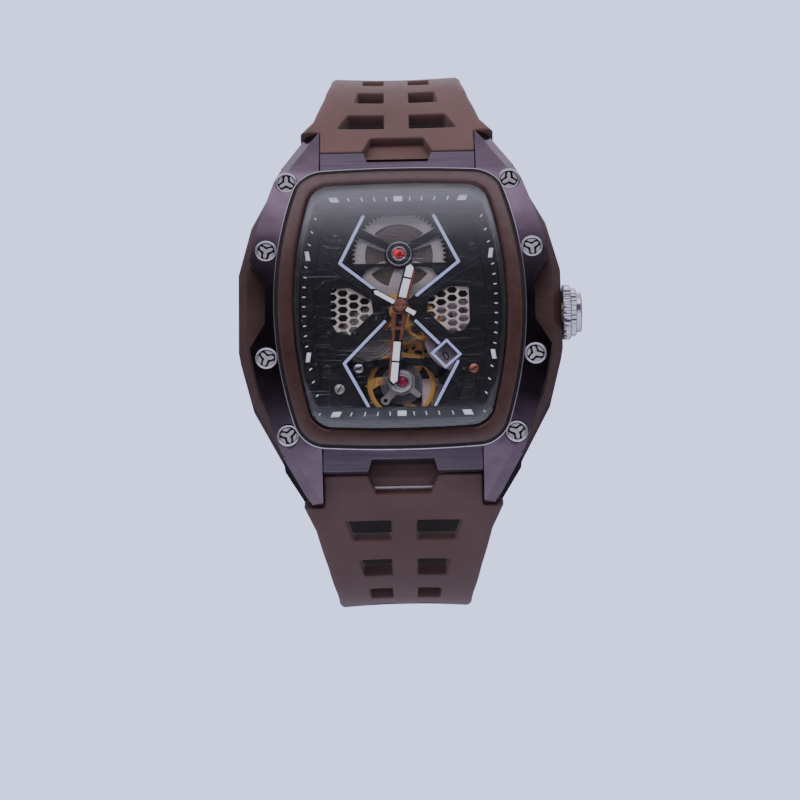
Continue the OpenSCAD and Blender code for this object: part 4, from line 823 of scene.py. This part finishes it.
# Jewels: a domed ruby pressed into a polished ring, in a black setting on the barrel and a steel one
# on the balance.
def jewel(name, color, deep):
    m, t = tree(name)
    tone = ramp(t, noise(t, 1500, 2.0, 0.5), [(0.42, deep), (0.62, color)])
    # The stone's tone also glows faintly: painted light, standing in for light caught inside the ruby.
    s = add(t, "ShaderNodeBsdfPrincipled", {"Base Color": tone, "Emission Color": tone},
            Roughness=0.04, Coat_Weight=1.0, Coat_Roughness=0.03, Emission_Strength=0.3)
    return surface(m, t, s.outputs[0])


def jewel_piece(node, at, stone_mat, hub_mat, outer):
    z = BRIDGE_Z + 0.82
    hub, bright, stone = Shape(), Shape(), Shape()
    hub.lathe([(outer, -0.35), (outer + 0.02, -0.02), (outer - 0.1, 0.06), (1.05, -0.02), (1.0, -0.35)],
              at, 56, 2, z)
    bright.lathe([(outer + 0.13, -0.36), (outer + 0.14, -0.03), (outer + 0.06, 0.06), (outer - 0.02, 0.02),
                  (outer - 0.02, -0.36)], at, 56, 2, z)
    bright.lathe([(1.02, -0.3), (1.02, 0.04), (0.92, 0.1), (0.8, 0.04), (0.76, -0.12), (0.76, -0.3)],
                 at, 48, 2, z)
    stone.lathe([(0.76, -0.3), (0.76, -0.12), (0.66, 0.02), (0.46, 0.12), (0.22, 0.16), (0.03, 0.165)],
                at, 40, z=z)
    piece(node + "_hub", hub, hub_mat, "barrel_bridge", False, 50)
    piece(node + "_rings", bright, chrome, "bezel_screws", False, 60)
    piece(node + "_stone", stone, stone_mat, node, angle=80)


ruby = jewel("ruby", (0.75, 0.012, 0.015), (0.12, 0.0, 0.004))
jewel_piece("barrel_jewel", BARREL, ruby, bridge_black, 1.55)


# Train: turned brass and steel wheels with cut teeth and thin arms, each pressed on its own pivot.
# The third wheel's disc is stepped in rings, which show at the upper left of the lower window.
THIRD = (-3.693, -2.743)
wheel_gold = turned("wheel_gold", (200, 146, 74), (240, 196, 122), (0.26, 0.38), (0, 0), 7000.0, 0.08, 0.45)
gold = metal("gold", (196, 142, 72), (236, 190, 118), (0.26, 0.36), depth=0.06, metallic=0.45)
wheel_steel = turned("wheel_steel", (150, 140, 134), (204, 194, 186), (0.3, 0.42), THIRD, 7000.0, 0.1, 0.2)
for wheel, mat in (("centre_wheel", wheel_gold), ("hour_wheel", wheel_gold), ("fourth_wheel", wheel_gold),
                   ("minute_wheel", gold), ("escape_wheel", gold), ("third_wheel", wheel_steel)):
    refine(wheel, mat, 0.02, 1)
rows = []
for k in range(5):
    r, z = 1.25 + 0.45 * k, 5.48 + 0.02 * k
    rows += [(r, 5.36), (r + 0.05, z), (r + 0.3, z), (r + 0.35, 5.36)]
rows += [(3.4, 5.36), (3.4, 5.3), (1.25, 5.3)]
piece("third_wheel_rings", Shape().lathe(rows, THIRD, 72, 2), wheel_steel, "third_wheel", False)
for part, edge in (("pallet_fork", 0.03), ("train_bridge", 0.05), ("setting_lever", 0.05)):
    refine(part, steel, edge)


# Balance: a gold rim with three curved, pointed arms on a polished hub, and twelve timing screws.
# The hairspring is coiled flat above it, pinned to the hub, and turns with it.
BALANCE, BALANCE_Z = (0.0, -9.7), PLATE_TOP + 1.75
balance_gold = turned("balance_gold", (192, 138, 66), (236, 190, 112), (0.2, 0.3), BALANCE,
                      7000.0, 0.08, 0.55)
spokes = [circle(4.2, BALANCE, 96)]
spokes += [window(BALANCE, 1.1, 3.85, 44 + 120 * i, 140 + 120 * i, 24) for i in range(3)]
cut_plate("balance_arms", spokes, BALANCE_Z + 0.05, BALANCE_Z + 0.32, balance_gold, "balance_wheel",
          False, 0.05)
gold_rim = Shape().lathe([(3.79, 0.06), (3.79, 0.34), (3.9, 0.4), (4.36, 0.4), (4.45, 0.32), (4.45, 0.06),
                          (4.38, 0), (3.86, 0)], BALANCE, 128, 2, BALANCE_Z)
gold_rim.lathe([(0.3, 3.65), (0.3, BRIDGE_Z + 0.3)], BALANCE, 24)
gold_rim.lathe([(0.58, 0.28), (0.6, 0.34), (0.6, 0.88), (0.54, 0.95), (0.1, 0.95)], BALANCE, 32, z=BALANCE_Z)
piece("balance_rim", gold_rim, balance_gold, "balance_wheel", angle=40)
stud = Shape().loft([[(x, *p) for p in circle(r, n=12)] for x, r in
                     ((-0.15, 0.1), (-0.12, 0.15), (0.12, 0.15), (0.15, 0.11))])
places = [(*polar(4.55, 30 * k, BALANCE), BALANCE_Z + 0.2, 30 * k) for k in range(12)]
repeated("balance_timing_screws", stud, places, balance_gold, "balance_wheel", False)
coil_grey = turned("coil_grey", (116, 114, 120), (176, 174, 182), (0.3, 0.42), BALANCE, 9000.0, 0.2, 0.5)
spiral = coils(BALANCE, 0.62, 0.19, 11.2, 0.09, 0.1, PLATE_TOP + 2.5)
piece("hairspring_wound", spiral, coil_grey, "hairspring", angle=40)


# Balance bridge and regulator: an arched black bridge on two posts with a chrome foot screw, and two
# polished arms above it that set the hairspring's working length.
POSTS, KNEE = ((-5.5, -7.7), (5.5, -8.8)), (0, -6.7)
arms = Shape()
for px, py in POSTS:
    bend = (px * 0.6, -7.0)
    bar(arms, (px, py), bend, 1.3, 1.0)
    bar(arms, bend, KNEE, 1.0, 0.95)
    arms.lathe([(0.5, 0), (0.5, RIM_Z), (0.43, BRIDGE_T), (0.05, BRIDGE_T)], bend, 28, z=BRIDGE_Z)
    post(arms, (px, py))
bar(arms, KNEE, (0, -8.2), 1.0, 1.2)
collar(arms, 1.75, BALANCE)
piece("balance_bridge_arms", arms, bridge_black, "balance_bridge")
screws("bridge_screw", [(*POSTS[0], BRIDGE_Z + 0.62, 30)], 0.62, chrome)
refine("regulator", silver_head, 0.04)
dark_ruby = jewel("dark_ruby", (0.22, 0.006, 0.03), (0.04, 0.0, 0.01))
jewel_piece("balance_jewel", BALANCE, dark_ruby, silver_head, 1.4)


# Hour and minute hands: a black body with copper facets at the root and on one side only, and raised lume
# with a cross bar. The black left on the other side is painted shade, for the facet turned from the light.
# The minute hand's copper root is a wide V with a keyhole and a slot.
copper = metal("hand_copper", (122, 72, 54), (162, 102, 80), (0.28, 0.4), depth=0.05, metallic=0.5)


# Each hand points to a clock angle at a height z, with its tip's reach, half its width h, the runs of
# its lume, and the reach and half width of its copper root
def hand(node, lume, at, z, tip, h, runs, prong, root):
    black, warm, white = Shape(), Shape(), Shape()
    turn = lambda pts: spin(pts, -at)
    black.slab(turn([(0.35, 0.2), (h, 1.3), (h, tip - h * 1.25), (0, tip), (-h, tip - h * 1.25), (-h, 1.3),
                     (-0.35, 0.2)]), z, z + 0.14, 0.03)
    # A copper strip on one side only: the hand's own colour where lit, while the other side's black is
    # painted shade.
    warm.slab(turn([(h - 0.34, 1.0), (h - 0.03, 1.4), (h - 0.03, tip - h * 1.3), (h - 0.34, tip - h * 0.95)]),
              z + 0.1, z + 0.2, 0.04)
    for m in (1, -1):
        leg = [(0.3 * m, 0.45), (root * m, 0.95), (h * 0.86 * m, prong), (0.28 * m, prong), (0.36 * m, 1.6)]
        warm.slab(turn(leg[::m]), z + 0.12, z + 0.26, 0.05)
    if root > h:
        warm.slab(turn([(-0.4, 2.7), (0.4, 2.7), (0.4, 3.1), (-0.4, 3.1)]), z + 0.12, z + 0.25, 0.05)
    warm.lathe([(0.98, 0), (1.0, 0.2), (0.9, 0.3), (0.62, 0.3), (0.62, 0)], cap=2, z=z)
    warm.slab(turn([(-0.5, -1.15), (0.5, -1.15), (0.62, -0.4), (-0.62, -0.4)]), z + 0.04, z + 0.22, 0.05)
    x0, x1 = 0.22 - h, h - 0.36
    for a, b in runs:
        end = [(x1, b), (x0, b)]
        if (a, b) == runs[-1]:
            end = [(x1, b - 0.42), ((x0 + x1) / 2, b), (x0, b - 0.42)]
        white.slab(turn([(x0, a), (x1, a)] + end), z + 0.12, z + 0.32, 0.04)
    piece(node + "_body", black, bridge_black, node)
    piece(node + "_facets", warm, copper, node, False)
    piece(node + "_inlay", white, lume_white, lume)


hand("hour_hand", "hour_lume", 15.0, 9.0, 6.45, 0.78, ((1.45, 4.1), (4.35, 6.15)), 1.5, 0.72)
hand("minute_hand", "minute_lume", 186, 9.6, 10.75, 0.74, ((4.8, 7.35), (7.6, 10.45)), 4.5, 1.1)


# Seconds hand: a thin dark steel blade with a wide lume block near its hub and a counterweight.
# Its turned copper hub is pressed on the fourth wheel's pivot, above the other hands.
SECONDS_Z, SECONDS_AT = 10.15, 301
BLADE = [(0.42, 0.4), (0.42, 3.95), (0.12, 4.35), (0.07, 10.4)]
TAIL = [(-0.48, -2.4), (0.48, -2.4), (0.36, -0.3), (-0.36, -0.3)]
BLOCK = [(-0.29, 0.85), (0.29, 0.85), (0.29, 3.6), (0.0, 3.95), (-0.29, 3.6)]
TAIL_BLOCK = [(-0.33, -2.25), (0.33, -2.25), (0.28, -0.95), (-0.28, -0.95)]
blade, white = Shape(), Shape()
for pts in (BLADE + [(-x, y) for x, y in BLADE[::-1]], TAIL):
    blade.slab(spin(pts, -SECONDS_AT), SECONDS_Z, SECONDS_Z + 0.12, 0.03)
for pts in (BLOCK, TAIL_BLOCK):
    white.slab(spin(pts, -SECONDS_AT), SECONDS_Z + 0.1, SECONDS_Z + 0.24, 0.04)
hub = Shape().lathe([(0.76, 0), (0.78, 0.16), (0.68, 0.26), (0.5, 0.28), (0.4, 0.22), (0.34, 0.32),
                     (0.05, 0.34)], z=SECONDS_Z)
blade_dark = metal("blade_dark", (36, 30, 30), (66, 56, 53), (0.22, 0.32), metallic=0.5)
piece("seconds_blade", blade, blade_dark, "seconds_hand")
piece("seconds_inlay", white, lume_white, "seconds_lume")
piece("seconds_hub", hub, copper, "seconds_hand", False, 50)


# Crown: three polished steel tiers, the first two fluted, turned and milled in one piece.
# It is screwed on a stem that runs through a steel tube into the case.
CROWN_X, STEM_Z, FLUTES, FLUTE_POINTS = 21.15, 6.0, 26, 6
CAP = ((1.7, 2.6), (2.3, 2.62), (2.45, 2.5), (2.5, 2.3), (2.44, 1.2), (2.42, 0.05))
knob = Shape()


def tier(r, depth, xa, xb, edge=0.12):
    rows = []
    for x, k in ((xa, 1 - edge / r), (xa + edge, 1), (xb - edge, 1), (xb, 1 - 1.6 * edge / r)):
        row = []
        for i in range(FLUTES * FLUTE_POINTS):
            a = 2 * pi * i / (FLUTES * FLUTE_POINTS)
            rr = (r - depth * (0.5 + 0.5 * cos(a * FLUTES)) ** 2) * k
            row.append((x, rr * cos(a), STEM_Z + rr * sin(a)))
        rows.append(row)
    knob.loft(rows)


tier(3.6, 0.24, CROWN_X, CROWN_X + 1.05)
tier(3.15, 0.16, CROWN_X + 1.0, CROWN_X + 1.8)
knob.loft([[(CROWN_X + x, y, STEM_Z + v) for y, v in circle(r, n=64)] for x, r in CAP])
piece("crown_fluted", knob, chrome, "crown", angle=38)
refine("winding_stem", steel, 0.04)
refine("crown_tube", steel, 0.06)


# Case back: a satin steel plate held by four screws, with a window onto the rotor.
# The rotor is a turned half disc that swings on a ball bearing.
case_steel = metal("case_steel", (150, 148, 152), (184, 182, 186), (0.24, 0.34), (4200, 240, 240), 0.12)
refine("case_back", case_steel, 0.12)
refine("back_screws", chrome, 0.05)
finish("back_glass", glass("back_clear", 0.06, 0.0))
rotor_grain = turned("rotor_grain", (120, 116, 116), (176, 172, 170), (0.2, 0.34), (0, 0), 6000.0, 0.12, 1.0)
refine("rotor", rotor_grain, 0.1)
refine("rotor_bearing", steel, 0.08)


# Strap: two moulded rubber halves with round edges, rows of slots, a pocket at the case and adjusting
# holes, black on the inside. Each is a flat cut sheet, bent onto the oval of the buckled strap.
LOOP_Z, LOOP_D, REACH = -11.0, 23.8, {1: 39.2, -1: 34.6}
STRAP_T, STRAP_W, STRAP_LUG, STEP, STEP_FROM, STEP_RUN = 2.4, 17.6, 25.8, 2.7, 167, 26
SLOTS, SLOT_L, SLOT_PITCH, SLOT_RIB, SLOT_EDGE = 4, 3.0, 6.1, 3.3, 4.45
HALF_GAP, WIDE_Y, END_Y, EDGE_Y, BAR_Y = 10.3, 25.45, 19.5, 21.85, 22.5
PIN_T, TAIL_T, FIRST_SLOT = 168.0, 116.0, {1: 44.5, -1: 54.7}
TAPER = {1: ((44.9, 0.58), (54.8, 0.25), (67, 0.03), (76, 0)),
         -1: ((54.6, 0.63), (68, 0.29), (82.5, 0.05), (89, 0))}
POCKET = [(-4.6, 0.02), (-3.5, 2.7), (3.5, 2.7), (4.6, 0.02)]
FORK_W, FORK_L, HOLE_R, HOLES = 1.35, 3.0, 0.95, (144, 152, 160, 168, 200, 208, 216, 224, 232)
ARC_STEP, EDGE_STEP, STRAIGHT_T, ROW = 0.25, 2.5, 92, 1.2
CUSHION, CUSHION_RUN, EDGE_DROP, SHOULDER = 0.35, 6, 0.5, 0.8
strap_rubber = rubber("strap_rubber", (74, 53, 50), (84, 61, 58))
lining = rubber("strap_lining", (22, 17, 17), (29, 23, 22))


def angle_of(y, s):
    return degrees(asin(y / REACH[s]))


def on_loop(s, t, d=0.0):
    a = radians(t)
    n = Vector((s * LOOP_D * sin(a), REACH[s] * cos(a))).normalized()
    return Vector((s * REACH[s] * sin(a), LOOP_Z + LOOP_D * cos(a))) + d * n


# The 6 o'clock half runs past the bottom and steps up there to lie over the other half
def over(t, d):
    v = min(1.0, max(0.0, (t - STEP_FROM) / STEP_RUN))
    d += STEP * v * v * (3 - 2 * v)
    return on_loop(-1, t, d) if t <= 180 else on_loop(1, 360 - t, d)


def half_w(s, t):
    runs = ((angle_of(WIDE_Y, s), 1),) + TAPER[s]
    k = 1.0 if t <= runs[0][0] else 0.0
    for (ta, a), (tb, b) in zip(runs, runs[1:]):
        if ta < t <= tb:
            k = a + (b - a) * (t - ta) / (tb - ta)
    return STRAP_W / 2 + (STRAP_LUG - STRAP_W) / 2 * k


# An outline with its corners rounded, by one radius or by one for each corner
def rounded(pts, radii, n=4):
    out = []
    for i in range(len(pts)):
        a, b, c = Vector(pts[i - 1]), Vector(pts[i]), Vector(pts[(i + 1) % len(pts)])
        r = radii[i] if isinstance(radii, list) else radii
        k = min(r, (a - b).length * 0.45, (c - b).length * 0.45)
        p0, p1 = b + (a - b).normalized() * k, b + (c - b).normalized() * k
        curve = [(1 - u) ** 2 * p0 + 2 * u * (1 - u) * b + u * u * p1 for u in [j / n for j in range(n + 1)]]
        out += [tuple(p) for p in curve]
    return out


def between(v, xs, ys):
    lo, hi = 0, len(xs) - 1
    while hi - lo > 1:
        mid = (lo + hi) // 2
        lo, hi = (mid, hi) if xs[mid] <= v else (lo, mid)
    return ys[lo] + (v - xs[lo]) * (ys[hi] - ys[lo]) / (xs[hi] - xs[lo])


# One half of the strap, along the 12 o'clock side (s = 1) or the 6 o'clock side (s = -1). Its length u
# is measured along the oval from the case, and t is the angle round the oval at the same place.
def strap_half(node, s, end_t):
    place = over if s < 0 else lambda t, d: on_loop(1, t, d)
    ts, us = [angle_of(EDGE_Y, s)], [0.0]
    while ts[-1] < end_t:
        t = min(end_t, ts[-1] + ARC_STEP)
        us.append(us[-1] + (place(t, 0) - place(ts[-1], 0)).length)
        ts.append(t)
    u_of = lambda t: between(t, ts, us)
    t_of = lambda u: between(u, us, ts)
    lug_u, total = u_of(angle_of(WIDE_Y, s)), us[-1]
    edge = [(HALF_GAP - 0.1, 0.02), (HALF_GAP - 0.1, lug_u), (STRAP_LUG / 2, lug_u + 0.01)]
    t = angle_of(WIDE_Y, s) + EDGE_STEP
    while t < STRAIGHT_T:
        edge.append((half_w(s, t), u_of(t)))
        t += EDGE_STEP
    edge.append((STRAP_W / 2, total))
    fork = [(FORK_W, total), (FORK_W, total - FORK_L), (-FORK_W, total - FORK_L), (-FORK_W, total)]
    outline = edge + (fork if s > 0 else []) + [(-x, u) for x, u in edge[::-1]] + POCKET
    outline = rounded(outline, [3.0 if s < 0 and u > total - 1 else 0.3 for x, u in outline], 3)
    cuts, t = [], FIRST_SLOT[s]
    for _ in range(SLOTS):
        u = u_of(t)
        low, high = u - SLOT_L / 2, u + SLOT_L / 2
        near, far = (half_w(s, t_of(v)) - SLOT_EDGE for v in (low, high))
        for m in (1, -1):
            slot = [(m * SLOT_RIB / 2, low), (m * near, low), (m * far, high), (m * SLOT_RIB / 2, high)]
            cuts.append(rounded(slot, 0.25, 2))
        t = t_of(u + SLOT_PITCH)
    if s < 0:
        cuts += [circle(HOLE_R, (0, u_of(t)), 24) for t in HOLES]
        a, b = u_of(180 + angle_of(3.65, 1)), u_of(192) + HOLE_R
        cuts.append(rounded([(-HOLE_R, a), (HOLE_R, a), (HOLE_R, b), (-HOLE_R, b)], 0.9, 5))
    o = cut_plate(node + "_moulded", [outline] + cuts, -STRAP_T, 0.0, strap_rubber, node, True, 0.2, Matrix())
    o.data.materials.append(lining)
    bm = bmesh.new()
    bm.from_mesh(o.data)
    planes = [((0, ROW * k, 0), (0, 1, 0)) for k in range(1, int(total / ROW))]
    columns = [-6, -3, 0, 3, 6] + [m * (8.2 + 0.6 * i) for m in (1, -1) for i in range(8)]
    planes += [((x, 0, 0), (1, 0, 0)) for x in columns]
    for co, no in planes:
        bmesh.ops.bisect_plane(bm, geom=bm.verts[:] + bm.edges[:] + bm.faces[:], plane_co=co, plane_no=no)
    for f in bm.faces:
        f.material_index = 1 if all(v.co.z < -STRAP_T + 0.05 for v in f.verts) else 0
    for v in bm.verts:
        x, u, d = v.co
        t = t_of(min(max(u, 0.0), total))
        hw = half_w(s, t)
        if d > -STRAP_T / 2:
            d -= CUSHION * (1 - (x / hw) ** 2) * min(1.0, max(0.0, u / CUSHION_RUN))
            if u > lug_u:
                d -= EDGE_DROP * max(0.0, (abs(x) - hw + SHOULDER) / SHOULDER) ** 2
        q = place(t, d)
        v.co = TO_ROW @ Vector((x, q.x, q.y))
    bmesh.ops.recalc_face_normals(bm, faces=bm.faces)
    bm.to_mesh(o.data)
    bm.free()
    o.data.set_sharp_from_angle(angle=radians(50))


strap_half("strap_12", 1, PIN_T)
strap_half("strap_6", -1, 360 - TAIL_T)


# Strap roots: the thick moulded ends that hold the spring bars between the lugs, and the loops round
# the buckle's pin. Their tops are the floors of the pockets behind the end plates.
def prism(s, outline, x0, x1, edge=0.2):
    small = shrink(outline, edge)
    return s.loft([[(x, y, z) for y, z in pts] for x, pts in
                   ((x0, small), (x0 + edge, outline), (x1 - edge, outline), (x1, small))])


roots = Shape()
for m in (1, -1):
    t0, t1 = angle_of(EDGE_Y, m), angle_of(BAR_Y + 3.4, m)
    top = [on_loop(m, t0 + (t1 - t0) * i / 4, -1.5) for i in range(5)] + [on_loop(m, t1 + 1, -STRAP_T)]
    outline = [(abs(q.x), q.y) for q in top]
    outline += [(BAR_Y + 1, 1.9), (END_Y + 0.35, 2.2), (END_Y + 0.35, 6.4), (EDGE_Y, 6.4)]
    prism(roots, [(y * m, z) for y, z in outline[::-m]], -HALF_GAP + 0.12, HALF_GAP - 0.12)
knuckle = circle(1.2, on_loop(1, PIN_T, -STRAP_T / 2), 32)
prism(roots, knuckle, -STRAP_W / 2, -FORK_W)
prism(roots, knuckle, FORK_W, STRAP_W / 2)
piece("strap_roots", roots, strap_rubber, "strap_12", False, 40)


# Keepers: moulded bands of the same rubber round both layers, soft at every corner.
# The first is fixed to the strap and the second slides.
KEEPER_ROOM, KEEPER_T = 0.5, 1.1
KEEPER_HALF = [(0, -2.25), (0.02, -2.45), (0.55, -2.5), (0.85, -2.42), (KEEPER_T, -2.1)]


def keeper(node, t):
    p = on_loop(1, t, (STEP - STRAP_T) / 2)
    n = on_loop(1, t, 1) - on_loop(1, t, 0)
    along = Vector((-n.y, n.x))
    w, h = (STRAP_W + KEEPER_ROOM) / 2, (STEP + STRAP_T + KEEPER_ROOM) / 2
    rings = []
    for g, v in KEEPER_HALF + [(g, -v) for g, v in KEEPER_HALF[::-1]]:
        around = rounded([(-w - g, -h - g), (w + g, -h - g), (w + g, h + g), (-w - g, h + g)], 0.6 + g, 6)
        rings.append([(x, *(p + n * k + along * v)) for x, k in around])
    piece(node + "_moulded", Shape().loft(rings, 2), strap_rubber, node, angle=50)


keeper("fixed_keeper", 150)
keeper("free_keeper", 135)


# Buckle: a forged satin steel frame and tongue on a steel pin, all with well rounded edges.
# Two more steel bars hold the strap between the lugs.
refine("buckle_frame", case_steel, 0.3, 3, 40)
refine("buckle_tongue", case_steel, 0.18, 3, 40)
refine("spring_bars", steel, 0.1)


# Floor: a plain pale painted sheet.
# It lies flat and well under the watch.
FLOOR_DROP, FLOOR_HALF = 0.25, 3
z = cad_lo[2] - FLOOR_DROP
corners = [(-FLOOR_HALF, -FLOOR_HALF, z), (FLOOR_HALF, -FLOOR_HALF, z), (FLOOR_HALF, FLOOR_HALF, z),
           (-FLOOR_HALF, FLOOR_HALF, z)]
sheet = bpy.data.meshes.new("floor")
sheet.from_pydata(corners, [], [(0, 1, 2, 3)])
floor = put("floor", sheet)
sheet.materials.append(painted("floor_pale", (0.74, 0.75, 0.86), 0.7))
